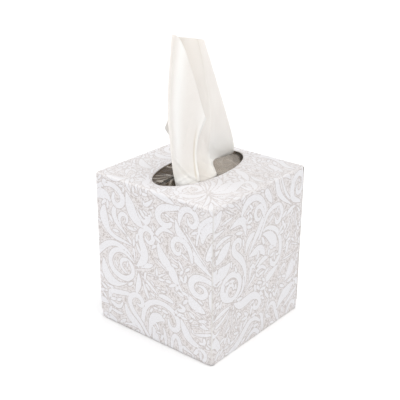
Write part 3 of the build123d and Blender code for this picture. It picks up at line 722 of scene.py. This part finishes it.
# Window film: clear soft film glued under the oval and slit along its middle. The tissue's foot
# presses it down in front of the slit, and its loose front lip stands up beside the foot.
FILM_LOW, FILM_HIGH = np.array((-33.0, -50.5)), np.array((27.0, 52.5))
FILM_THICK, FILM_ROWS, FILM_CROWDING = 0.1, 181, 1.15
FILM_TOP = HEIGHT - BOARD - FILM_THICK
SLIT_X, SLIT_Y, SLIT_LONG, SLIT_WIDE = -4.6, 3.0, 46.5, 2.3
# Film colours: painted shade, deep and pale, then the painted light on the raised lip and the painted glint
# colour
FILM_SHADE_DEEP, FILM_SHADE_PALE = (0.055, 0.028, 0.008), (0.1, 0.06, 0.026)
FILM_PAINTED_LIGHT_TINT, FILM_GLINT_TINT = (0.47, 0.41, 0.35), (0.52, 0.465, 0.4)
# Creases in the film: two ends, then how high and how wide the crease is
FILM_CREASES = [
    ((-6, -27), (-15, -37), 0.5, 1.3), ((-7, -20), (-21, -25), -0.45, 1.6),
    ((-6, -31), (-9, -43), 0.45, 1.2), ((-8, -9), (-23, -12), 0.5, 2.0), ((-7, -24), (-17, -31), 0.35, 1.0),
    ((-3, -30), (3, -41), 0.6, 1.1), ((-3.5, -35), (-2, -44), -0.5, 1.2), ((-2, -32), (8, -38), -0.4, 1.2),
    ((-1, 19), (17, 9), 0.5, 1.4), ((-1, 30), (15, 24), 0.4, 1.6), ((-1.5, 38), (12, 35), -0.5, 1.5),
    ((-1, 12), (9, 8), -0.5, 1.3), ((-7, 14), (-22, 8), 0.5, 1.8), ((-7, 30), (-19, 24), -0.5, 1.7),
    ((-6.5, 42), (-13, 38), 0.4, 1.2),
]
# Painted glare patches under the foot: the middle, half the width and the length, and how strong it is
FILM_GLARE_PATCHES = [((-11.5, -24), (1.2, 4.0), 0.5), ((-7, -37.5), (2.2, 3.6), 0.6)]


def eased(value, start, over):
    """A share eased from 0 at the start to 1 once over is passed; an over below nothing runs back."""
    share = np.clip((value - start) / over, 0, 1)
    return share * share * (3 - 2 * share)


def slit_half(y):
    """Half the slit's width at a place along it: open where the tissue passes, closed at its ends."""
    return SLIT_WIDE * np.clip(1 - ((y - SLIT_Y) / SLIT_LONG) ** 2, 0, 1) ** 0.9


def inside_oval(x, y):
    """How far in from the oval's edge a place lies, as a share of the way to its middle."""
    x0, y0, rx, ry = OVAL
    return 1 - np.hypot((x - x0) / rx, (y - y0) / ry)


def from_film_crease(x, y, start, end):
    """How far places lie from a crease, and how far along it they lie, from 0 to 1."""
    (ax, ay), (bx, by) = start, end
    along = np.array((bx - ax, by - ay), float)
    share = np.clip(((x - ax) * along[0] + (y - ay) * along[1]) / (along @ along), 0, 1)
    return np.hypot(x - ax - share * along[0], y - ay - share * along[1]), share


def film_height(x, y):
    """Height of the film at a place in the oval: pressed down by the foot, raised along the front
    lip, a little proud along the back lip, creased and wavy."""
    ring = inside_oval(x, y)
    pressed = eased(y, -41, 7) * eased(y, 4, -7) * eased(x, -1.6, 2.2)
    free = eased(ring, 0, 0.06 - 0.035 * pressed)
    raised = eased(y, 6, 6) * eased(y, 46, -9) * eased(ring, 0, 0.8)
    raised = np.where(x > SLIT_X, raised * (1 - eased(x, -1, 26) * 0.7), 0)
    back_lip = np.where(x <= SLIT_X, np.exp((x - SLIT_X) / 4), 0)
    lift = 3.0 * raised - 2.75 * pressed + 0.3 * back_lip
    for start, end, high, wide in FILM_CREASES:
        off, share = from_film_crease(x, y, start, end)
        lift = lift + high * np.exp(-off / wide) * (1 - 0.5 * share) * (1 - pressed)
    waves = 0.16 * np.abs(np.sin(0.31 * x + 0.23 * y + 1.4 * np.sin(0.11 * y)))
    waves += 0.12 * np.abs(np.sin(0.6 * x - 0.21 * y + 0.9 * np.sin(0.17 * x)))
    return FILM_TOP + free * (lift - waves * (1 - pressed) - 0.25)


def grid_faces(rows, width, start=0, turned=False):
    """Faces between neighbouring points of a grid, which is given row after row from the start."""
    faces = []
    for row in range(rows - 1):
        for a in range(start + row * width, start + row * width + width - 1):
            b = a + width
            faces.append((a, b, b + 1, a + 1) if turned else (a, a + 1, b + 1, b))
    return faces


film_rows = np.linspace(FILM_LOW[1], FILM_HIGH[1], FILM_ROWS)
film_points, film_faces = [], []
for side, edge_x, cells in ((-1, FILM_LOW[0], 60), (1, FILM_HIGH[0], 64)):
    lips = SLIT_X + side * slit_half(film_rows)
    x = lips[:, None] + (edge_x - lips[:, None]) * np.linspace(0, 1, cells + 1) ** FILM_CROWDING
    y = np.repeat(film_rows[:, None], cells + 1, axis=1)
    film_faces += grid_faces(len(film_rows), cells + 1, len(film_points), side < 0)
    film_points += list(np.stack([x, y, film_height(x, y)], -1).reshape(-1, 3))
film_mesh = bpy.data.meshes.new("slit_film")
film_mesh.from_pydata(np.array(film_points) * MM, [], film_faces)
shaper = bmesh.new()
shaper.from_mesh(film_mesh)
bmesh.ops.remove_doubles(shaper, verts=shaper.verts, dist=1e-6)
bmesh.ops.recalc_face_normals(shaper, faces=shaper.faces)
if sum(face.normal.z for face in shaper.faces) < 0:
    bmesh.ops.reverse_faces(shaper, faces=shaper.faces)
shaper.to_mesh(film_mesh)
shaper.free()
film_mesh.polygons.foreach_set("use_smooth", np.ones(len(film_mesh.polygons), bool))
film_place = np.empty(len(film_mesh.vertices) * 3)
film_mesh.vertices.foreach_get("co", film_place)
fx, fy = film_place.reshape(-1, 3)[:, 0] / MM, film_place.reshape(-1, 3)[:, 1] / MM
# Light and shade painted on the film: painted shade, a dark brown cover, away from the slit's foot end;
# painted glints along its raised creases and in patches under the foot; and painted light, a lighter
# brown-grey, where the raised lip and the tissue under it are lit.
# Painted glints: bright streaks along the raised creases and glare patches under the foot
film_painted_glint = np.zeros(len(fx))
for start, end, high, wide in FILM_CREASES:
    off, _ = from_film_crease(fx, fy, start, end)
    film_painted_glint = np.maximum(film_painted_glint, 0.8 * np.exp(-off / (0.45 * wide)) * (high > 0))
for (gx, gy), (wide, long), share in FILM_GLARE_PATCHES:
    film_painted_glint = np.maximum(film_painted_glint, share * np.exp(-((fx - gx) / long) ** 2 - ((fy - gy) / wide) ** 2))
# Painted light: a lighter brown-grey where the raised lip and the tissue under it are lit, thinned near the
# far rim
film_painted_light = eased(fy, -2, 8) * eased(fx, SLIT_X, 3) * (1 - 0.3 * eased(fy, 27, 3))
film_painted_light *= 1 - 0.85 * eased(fy, 30, 6) * (1 - eased(inside_oval(fx, fy), 0.03, 0.1))
# Painted shade: the film becomes a dark cover away from the slit's foot end
add_field(film_mesh, "film_painted_shade", 1 - eased(fx, -5, 4) * eased(fy, -22, 14))
add_field(film_mesh, "film_painted_glint", film_painted_glint)
add_field(film_mesh, "film_painted_light", film_painted_light)
film = put_in_scene("slit_film", film_mesh)
skin = film.modifiers.new("film_skin", "SOLIDIFY")
skin.thickness = FILM_THICK * MM
skin.offset = -1
film_finish, tree, shader = new_finish("window_film")
# The film's colour and cover are painted shade, painted light and painted glints over an otherwise clear
# film
smear = noise(tree, object_place(tree), 110.0, 3.0)
film_glint_share, film_light_share = (times(tree, stored_field(tree, name), ramp_between(tree, smear, 0.3, *ends))
               for name, ends in (("film_painted_glint", (0.5, 0.3, 1)), ("film_painted_light", (0.7, 0.34, 0.46))))
colour = mixed(tree, smear, FILM_SHADE_DEEP, FILM_SHADE_PALE)
colour = mixed(tree, ramp_between(tree, film_light_share, 0.0, 0.3), colour, FILM_PAINTED_LIGHT_TINT)
colour = mixed(tree, ramp_between(tree, film_glint_share, 0.0, 0.5), colour, FILM_GLINT_TINT)
# Cover of the painted glints and the painted light
glint_and_light_cover = math_node(tree, "MAXIMUM", times(tree, film_glint_share, 0.8), film_light_share)
# Cover of the painted shade: thick away from the slit's foot end, nearly clear elsewhere
cover = ramp_between(tree, stored_field(tree, "film_painted_shade"), 0.0, 1.0, 0.07, 0.6)
feed(shader, {"Base Color": colour, "Roughness": ramp_between(tree, smear, 0.3, 0.7, 0.06, 0.18),
              "Alpha": math_node(tree, "MAXIMUM", cover, glint_and_light_cover), "Specular IOR Level": 0.35})
film_mesh.materials.append(film_finish)
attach(film, "root")
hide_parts("window_film")


# Clip of tissues: interleaved two-ply sheets bent over together into an arch, each leaf nested in
# the one above. The legs stand on the carton's bottom, and the bend lies under the opening.
ARCH_HALF, ARCH_TOP, ARCH_ROUND, ARCH_WIDE, ARCH_BASE = 52.3, 111.0, 46.0, 52.0, 1.3
LEAF, LEAF_STEP, LEAF_COUNT, LEAF_CELLS = 1.05, 1.28, 34, 8
LEAF_SWAY, LEAF_SEED, ARCH_STEPS = 0.0007, 7, 15
half_line = [(-ARCH_HALF, ARCH_BASE, -1.0, 0.0)]
for turn in np.linspace(pi, pi / 2, ARCH_STEPS):
    ny, nz = np.cos(turn), np.sin(turn)
    half_line.append((ARCH_ROUND - ARCH_HALF + ARCH_ROUND * ny,
                      ARCH_TOP - ARCH_ROUND + ARCH_ROUND * nz, ny, nz))
leaf_line = half_line + [(-y, z, -ny, nz) for y, z, ny, nz in reversed(half_line)]
leaf_points, leaf_outward = [], []
for depth in (0.0, LEAF):
    for x in np.linspace(-ARCH_WIDE, ARCH_WIDE, LEAF_CELLS + 1):
        leaf_points += [(x, y - ny * depth, z - nz * depth) for y, z, ny, nz in leaf_line]
        leaf_outward += [(0, ny, nz) for _, _, ny, nz in leaf_line]
row, layer = len(leaf_line), len(leaf_line) * (LEAF_CELLS + 1)
leaf_faces = grid_faces(LEAF_CELLS + 1, row, 0, True) + grid_faces(LEAF_CELLS + 1, row, layer)
for first in (0, row - 1):
    leaf_faces += [(a, a + row, layer + a + row, layer + a) for a in range(first, layer - row, row)]
for first in (0, LEAF_CELLS * row):
    leaf_faces += [(a, a + 1, layer + a + 1, layer + a) for a in range(first, first + row - 1)]
leaf_mesh = bpy.data.meshes.new("clip_leaf")
leaf_mesh.from_pydata(np.array(leaf_points) * MM, [], leaf_faces)
shaper = bmesh.new()
shaper.from_mesh(leaf_mesh)
bmesh.ops.recalc_face_normals(shaper, faces=shaper.faces)
shaper.to_mesh(leaf_mesh)
shaper.free()
outward = leaf_mesh.attributes.new("outward", "FLOAT_VECTOR", "POINT")
outward.data.foreach_set("vector", np.array(leaf_outward, np.float32).ravel())
leaf = put_in_scene("clip_leaf", leaf_mesh)

# Tissue paper of the clip and the raised sheet: soft, and yellower where the sheet leaves the box.
TISSUE_DARK, TISSUE_LIGHT, TISSUE_FOOT = (0.8, 0.76, 0.72), (0.83, 0.795, 0.755), (0.79, 0.765, 0.69)
# Colours of the painted shade, the painted light and the painted shadow line on the raised sheet
SHEET_SHADE_TINT, SHEET_LIGHT_TINT, SHEET_SHADOW_TINT = (0.7, 0.66, 0.61), (0.93, 0.92, 0.89), (0.56, 0.48, 0.36)
tissue_finish, tree, shader = new_finish("tissue_paper")
place = object_place(tree)
tone = add_grain(tree, place, 1500.0, 55.0, 0.16)
colour = mixed(tree, tone, TISSUE_DARK, TISSUE_LIGHT)
foot = ramp_between(tree, height_of(tree, place), 0.121, 0.142, 0.5, 0.0)
colour = mixed(tree, foot, colour, TISSUE_FOOT)
# Painted shade, painted light and a painted shadow line, from fields stored on the raised sheet only
for name, tint in (("sheet_painted_shade", SHEET_SHADE_TINT), ("sheet_painted_light", SHEET_LIGHT_TINT), ("sheet_shadow_line", SHEET_SHADOW_TINT)):
    colour = mixed(tree, stored_field(tree, name), colour, tint)
feed(shader, {"Base Color": colour, "Roughness": ramp_between(tree, tone, 0.0, 1.0, 0.42, 0.55),
              "Subsurface Weight": 0.5, "Subsurface Radius": (1.0, 1.0, 1.0), "Subsurface Scale": 0.0003,
              "Sheen Weight": 0.15, "Sheen Roughness": 0.4})

# The leaves nest as copies of the first, each a step further in and swayed sideways by chance.
nesting = bpy.data.node_groups.new("nested_leaves", "GeometryNodeTree")
nesting.interface.new_socket("Geometry", in_out="INPUT", socket_type="NodeSocketGeometry")
LEAF_VALUES = {}
for label, kind, value in (("Leaves", "Int", LEAF_COUNT), ("Step", "Float", LEAF_STEP * MM),
                           ("Sway", "Float", LEAF_SWAY), ("Seed", "Int", LEAF_SEED),
                           ("Finish", "Material", tissue_finish)):
    socket = nesting.interface.new_socket(label, in_out="INPUT", socket_type="NodeSocket" + kind)
    LEAF_VALUES[socket.identifier] = value
nesting.interface.new_socket("Geometry", in_out="OUTPUT", socket_type="NodeSocketGeometry")
given = nesting.nodes.new("NodeGroupInput").outputs
points = new_node(nesting, "GeometryNodeMeshLine", {"Count": given["Leaves"], "Offset": (0, 0, 0)})[0]
copies = new_node(nesting, "GeometryNodeInstanceOnPoints",
                  {"Points": points, "Instance": given["Geometry"]})[0]
index = new_node(nesting, "GeometryNodeInputIndex", {})[0]
fed = {"Geometry": copies, "Name": "leaf", "Value": index}
numbered = new_node(nesting, "GeometryNodeStoreNamedAttribute", fed, data_type="INT", domain="INSTANCE")[0]
real = new_node(nesting, "GeometryNodeRealizeInstances", {0: numbered})[0]
number, away = (
    new_node(nesting, "GeometryNodeInputNamedAttribute", {"Name": name}, data_type=kind)["Attribute"]
    for name, kind in (("leaf", "INT"), ("outward", "FLOAT_VECTOR")))
inward = times(nesting, times(nesting, number, given["Step"]), -1)
least, most, chance_out = 2, 3, 1
fed = {least: times(nesting, given["Sway"], -1), most: given["Sway"], "ID": number, "Seed": given["Seed"]}
sway = new_node(nesting, "FunctionNodeRandomValue", fed)[chance_out]
sideways = new_node(nesting, "ShaderNodeCombineXYZ", {0: sway})[0]
shift = new_node(nesting, "ShaderNodeVectorMath", {0: away, "Scale": inward}, operation="SCALE")[0]
total = new_node(nesting, "ShaderNodeVectorMath", {0: shift, 1: sideways})[0]
moved = new_node(nesting, "GeometryNodeSetPosition", {"Geometry": real, "Offset": total})[0]
finished = new_node(nesting, "GeometryNodeSetMaterial", {"Geometry": moved, "Material": given["Finish"]})[0]
feed(nesting.nodes.new("NodeGroupOutput"), {0: finished})
nest = leaf.modifiers.new("nested_leaves", "NODES")
nest.node_group = nesting
for identifier, value in LEAF_VALUES.items():
    nest[identifier] = value
evaluated = leaf.evaluated_get(bpy.context.evaluated_depsgraph_get())
stack_mesh = bpy.data.meshes.new_from_object(evaluated)
stack_mesh.name = "tissue_clip"
stack = put_in_scene("tissue_clip", stack_mesh)
bpy.data.objects.remove(leaf)
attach(stack, "root")
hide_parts("tissue_stack")


# Raised tissue: one two-ply sheet, soft and faintly embossed. Its lower half lies on the clip;
# the upper half is gathered by the slit and stands in loose folds. Each fold line is given from
# the sheet's rear side edge round to its front side edge, as in the sheet's solid.
LAYER_STEP, LAID_GAP, LAID_INSET, LAID_BEND = 1.3, 0.9, 2.0, 9.0
LIP_STEP, LIP_HEIGHT, SHEET, PLIES_THICK = 0.7, 1.6, 0.3, 0.16
FOLD_LINES = [
    ((-1, -5), (-3, -5, 0.5), (-4, -10, 9), (-6.5, -17, 20), (-10.5, -21.5, 27), (-11, -25.8, 34.6)),
    ((-1, 19), (-3, 19, 0.5), (-3.6, 16, 9), (-4.8, 8, 25), (-5.5, -4, 46), (-5.6, -13, 64)),
    ((-1, 44), (-3, 44, 0.5), (-3.2, 43.5, 9), (-3.6, 36, 28), (-4, 20, 62), (-3.6, 6, 91)),
    ((-0.5, 44.5), (-2, 44.6, 0.5), (-2, 44.5, 9), (-2.2, 37, 27), (-2.4, 21, 64), (-2.5, 8, 92)),
    ((0, 44), (-0.6, 44, 0.5), (-0.7, 43, 9), (-0.9, 36, 28), (-0.8, 20, 62), (-1.2, 6, 94)),
    ((0, 15), (-0.6, 15, 0.5), (0, 11, 6), (2.4, 10, 28), (0.5, 9, 62), (-1.2, 0, 95.5)),
    ((0, 5), (21.3, -0.8, -3.8), (3.8, 4.3, 6.6), (6, 5.2, 26.8), (3, 7, 62), (-0.6, -2, 96)),
    ((0, 1), (23.3, -5.4, -3.8), (5.4, 1.1, 6.6), (6.8, 3, 26.8), (3.4, 5.4, 62), (-0.6, -4, 96.5)),
    ((0, -9), (26, -16.5, -3.8), (9.9, -9.5, 9), (4, -13.3, 32.3), (1.9, -12.6, 64), (-1.8, -13, 98.5)),
    ((0, -18), (21, -24, -3.8), (6, -22, 8), (-1, -28, 30), (-1, -30, 62), (-2.4, -26, 101)),
    ((0, -25), (4.8, -33.2, -4.4), (-0.5, -32.5, 10), (0.8, -37, 34), (0.9, -38.6, 66), (0.6, -31.7, 104)),
    ((0.4, -26.5), (13.2, -38.4, -5), (9, -37, 9), (8.5, -36.5, 34), (6.8, -37.2, 66), (5.9, -28.2, 103)),
    ((0.8, -27), (18.6, -31, -5.4), (13.8, -27.6, 7.2), (9.5, -22.7, 22.7), (8, -18.7, 42.7),
     (7.8, -14.9, 72.4)),
    ((0.8, -21), (21.2, -22.7, -5.4), (14.3, -20.1, 7.4), (10.7, -17.9, 16.1), (9.3, -14.6, 28.5),
     (6.4, -1.7, 38.9)),
]
# Creases of the sheet: places along a crease, each as (how far up a fold line, which fold line),
# then how high it stands and how wide it is. A height below nothing is a hollow.
SHEET_CREASES = [
    ([(6.02, 10.05), (5.84, 10.45), (5.72, 10.8), (5.5, 11.15), (5.16, 11.7), (4.9, 12)], 0.9, 0.42),
    ([(5.9, 10.05), (5.72, 10.45), (5.58, 10.8), (5.36, 11.15), (5.02, 11.7), (4.8, 12)], -0.9, 0.38),
    ([(4.92, 10.35), (5.2, 11), (5.3, 11.4)], 0.7, 0.55),
    ([(4.68, 11.5), (5.1, 11.2), (5.45, 10.9)], 0.6, 0.5),
    ([(4.7, 10.9), (4.95, 11.5), (5.0, 11.9)], -0.52, 0.65),
    ([(5.9, 10.2), (5.4, 10.5), (5.0, 10.6)], -0.45, 0.91),
    ([(6.0, 10.9), (7.02, 11.3), (7.5, 11.5)], -0.65, 1.43),
    ([(5.8, 10.6), (6.9, 10.75), (7.6, 10.8)], -0.45, 1.69),
    ([(7.9, 11.1), (7.82, 10.7), (7.65, 10.4), (7.0, 10.25), (6.2, 10.2)], -0.4, 0.6),
    ([(5.7, 11.4), (6.4, 11.55), (6.9, 11.6)], 0.3, 1.6),
    ([(6.3, 11.1), (7.3, 11.1), (7.8, 11)], 0.25, 2.2),
    ([(6.85, 5.25), (6.48, 5.2), (5.6, 5.35), (5.36, 5.6), (5.1, 6.28), (4.7, 6.25)], 0.8, 1.2),
    ([(6.6, 4.9), (5.8, 5), (5.3, 5.1)], -0.5, 1.4), ([(5.2, 8.6), (4.9, 7.6), (4.7, 7.2)], 0.8, 0.7),
    ([(5.54, 7.48), (5.25, 6.5), (5.1, 5.7)], -0.5, 1.0),
    ([(4.75, 8.6), (5.3, 8.3), (5.9, 8.5)], -0.8, 0.7), ([(4.7, 7.5), (5.0, 7.5), (5.2, 6.7)], -0.4, 0.9),
    ([(7.95, 4.7), (7.74, 4.9), (7.5, 5.3), (7.1, 5.5)], -0.8, 2.2),
    ([(7.9, 5.4), (7.6, 6.3), (7.2, 6.6)], 0.4, 2.4), ([(5.06, 3.9), (5.6, 4.3), (6.2, 4.7)], 0.35, 2.0),
    ([(5.2, 3.6), (6.5, 4), (7.3, 4.4)], 0.3, 2.4), ([(5.0, 4.6), (5.3, 4.9), (5.6, 5)], -0.4, 1.2),
    ([(6.0, 6.5), (6.6, 7.4), (7.2, 7.6)], -0.4, 1.6), ([(7.0, 0.9), (6.2, 1), (5.2, 1.1)], 0.4, 2.5),
    ([(5.3, 0.6), (6.3, 0.4), (7.3, 0.3)], 0.5, 2.0), ([(7.9, 8.6), (7.0, 8.9), (6.0, 9.1)], 0.4, 2.4),
    ([(7.8, 9.9), (7.0, 9.8), (6.2, 9.8)], 0.3, 2.0),
]
# Runs of rows up the sheet: from, to, count; closest together in the folds above the slit
ROW_RUNS = ((0, 2.5, 14), (2.5, 4.3, 20), (4.3, 6.2, 72), (6.2, 8, 82))
ROWS = np.append(np.concatenate([np.linspace(*run)[:-1] for run in ROW_RUNS]), 8)
LAST_FOLD, COLUMN_COUNT = 12, 221
COLUMNS = np.linspace(0, LAST_FOLD, COLUMN_COUNT)
CREASE_STEPS, CREASE_ENDS, CREASE_FADE, CREASE_REACH = 40, (0.12, 0.88), 0.7, 2.2


def fold_points(slit, *points):
    """A fold line's points, from its laid end up through the slit to the sheet's edge."""
    layer, y = slit
    x, y = SLIT_X + layer * LAYER_STEP, y + OVAL[1]
    laid = ARCH_TOP + LAID_GAP + SHEET / 2 + (1 + layer) * LAYER_STEP
    line = [(ARCH_WIDE - LAID_INSET, y, laid), (x + LAID_BEND, y, laid), (x, y, laid)]
    if points[0][2] < 0:
        line += [(x, y, HEIGHT + LIP_HEIGHT), (SLIT_X + SLIT_WIDE + LIP_STEP, y, HEIGHT + 1.5 * LIP_HEIGHT)]
    else:
        line += [(x, y, HEIGHT - 2 * LIP_HEIGHT), (x, y, HEIGHT - LIP_HEIGHT / 2)]
    return line + [(OVAL[0] + px, OVAL[1] + py, HEIGHT + pz) for px, py, pz in points]


def folded_sheet(up, across):
    """Places of the folded sheet's middle, in rows up its length and columns across its folds."""
    lines = np.array([fold_points(*line) for line in FOLD_LINES])
    rises = pulled_curve(lines.transpose(1, 0, 2), up)
    folded_grid = pulled_curve(rises.transpose(1, 0, 2), across).transpose(1, 0, 2)
    past = np.clip(np.abs(folded_grid[..., 1]) - (ARCH_HALF - ARCH_ROUND), 0, ARCH_ROUND)
    drop = ARCH_ROUND - np.sqrt(ARCH_ROUND**2 - past**2)
    folded_grid[..., 2] -= drop * np.clip((HEIGHT - folded_grid[..., 2]) / (HEIGHT - ARCH_TOP), 0, 1)
    return folded_grid


grid = folded_sheet(ROWS, COLUMNS)
sheet_out = np.cross(np.gradient(grid, axis=1), np.gradient(grid, axis=0))
sheet_out /= np.linalg.norm(sheet_out, axis=-1, keepdims=True)
facing = np.where((COLUMNS > 3) & (COLUMNS < 10), -1.0, 1.0)
relief = np.zeros(grid.shape[:2])
for places, high, wide in SHEET_CREASES:
    path = np.array(places)
    steps = np.linspace(0, len(path) - 1, CREASE_STEPS)
    up, across = (np.interp(steps, np.arange(len(path)), part) for part in path.T)
    crease = np.array([folded_sheet(up[k:k + 1], across[k:k + 1])[0, 0] for k in range(len(steps))])
    fade = np.sin(pi * np.linspace(*CREASE_ENDS, len(steps))) ** CREASE_FADE
    near = np.nonzero(np.abs(COLUMNS - across.mean()) < CREASE_REACH)[0]
    off = np.linalg.norm(grid[:, near, None] - crease, axis=-1)
    relief[:, near] += high * np.exp(-off.min(-1) / wide) * fade[off.argmin(-1)]
height = grid[..., 2] - HEIGHT


def risen(start, over):
    """A share from 0 at a height above the carton to 1 further up; over may run downwards."""
    return np.clip((height - start) / over, 0, 1)


def fold_band(fold, wide):
    """A soft band up the sheet along a fold line."""
    return np.exp(-((COLUMNS - fold) / wide) ** 2)


ripple = 0.05 * np.sin(0.55 * grid[..., 1] + 0.8 * np.sin(0.07 * height) + 1.3 * COLUMNS)
ripple += 0.03 * np.sin(1.1 * grid[..., 1] - 0.12 * height + 2.1 * np.sin(0.05 * height))
relief += ripple * risen(2, 10)
relief += 0.9 * np.exp((COLUMNS - LAST_FOLD) / 0.08) * risen(0, 4)
grid = grid + sheet_out * (relief * facing * risen(-4, 4))[..., None]
tissue_mesh = bpy.data.meshes.new("raised_sheet")
tissue_mesh.from_pydata(grid.reshape(-1, 3) * MM, [], grid_faces(len(ROWS), len(COLUMNS)))
tissue_mesh.polygons.foreach_set("use_smooth", np.ones(len(tissue_mesh.polygons), bool))
# Light and shade painted on the sheet: a painted highlight down the front roll, painted light on the hem and
# where the foot, the lower right panel and the rear corner lie in shade, painted shade in the hollows
# between folds, and a painted brown shadow line beside its front edge and along one fold.
sheet_painted_light = 0.9 * fold_band(10.62, 0.33) * risen(4, 26) + 0.75 * fold_band(10.9, 0.9) * risen(8, -5)
sheet_painted_light += 0.9 * fold_band(4.8, 1.3) * np.exp(-((height - 9) / 13) ** 2)
sheet_painted_light += 0.9 * np.exp((COLUMNS - LAST_FOLD) / 0.12) * risen(0, 4) + 0.8 * fold_band(0, 0.9)
# Painted shade in the hollows between folds higher up, and low down beside the inner fold
sheet_painted_shade = fold_band(8.4, 1.0) * risen(20, 30) + 0.8 * fold_band(5.6, 1.0) * risen(25, 30)
sheet_painted_shade += fold_band(8.0, 1.0) * risen(12, -6)
# Painted shadow: a brown line beside the front edge under the hem, and a faint one along the ridge fold
sheet_shadow_line = 0.62 * fold_band(11.84, 0.05) * risen(0, 4) * np.clip((7.7 - ROWS) / 0.7, 0, 1)[:, None]
sheet_shadow_line += 0.16 * fold_band(5.6, 0.22) * risen(0, 20)
for name, values in (("sheet_painted_light", sheet_painted_light), ("sheet_painted_shade", sheet_painted_shade), ("sheet_shadow_line", sheet_shadow_line)):
    add_field(tissue_mesh, name, np.clip(values, 0, 1))
tissue = put_in_scene("raised_sheet", tissue_mesh)
ply = tissue.modifiers.new("two_plies", "SOLIDIFY")
ply.thickness = PLIES_THICK * MM
ply.offset = 0
tissue_mesh.materials.append(tissue_finish)
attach(tissue, "root")
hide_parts("raised_tissue")
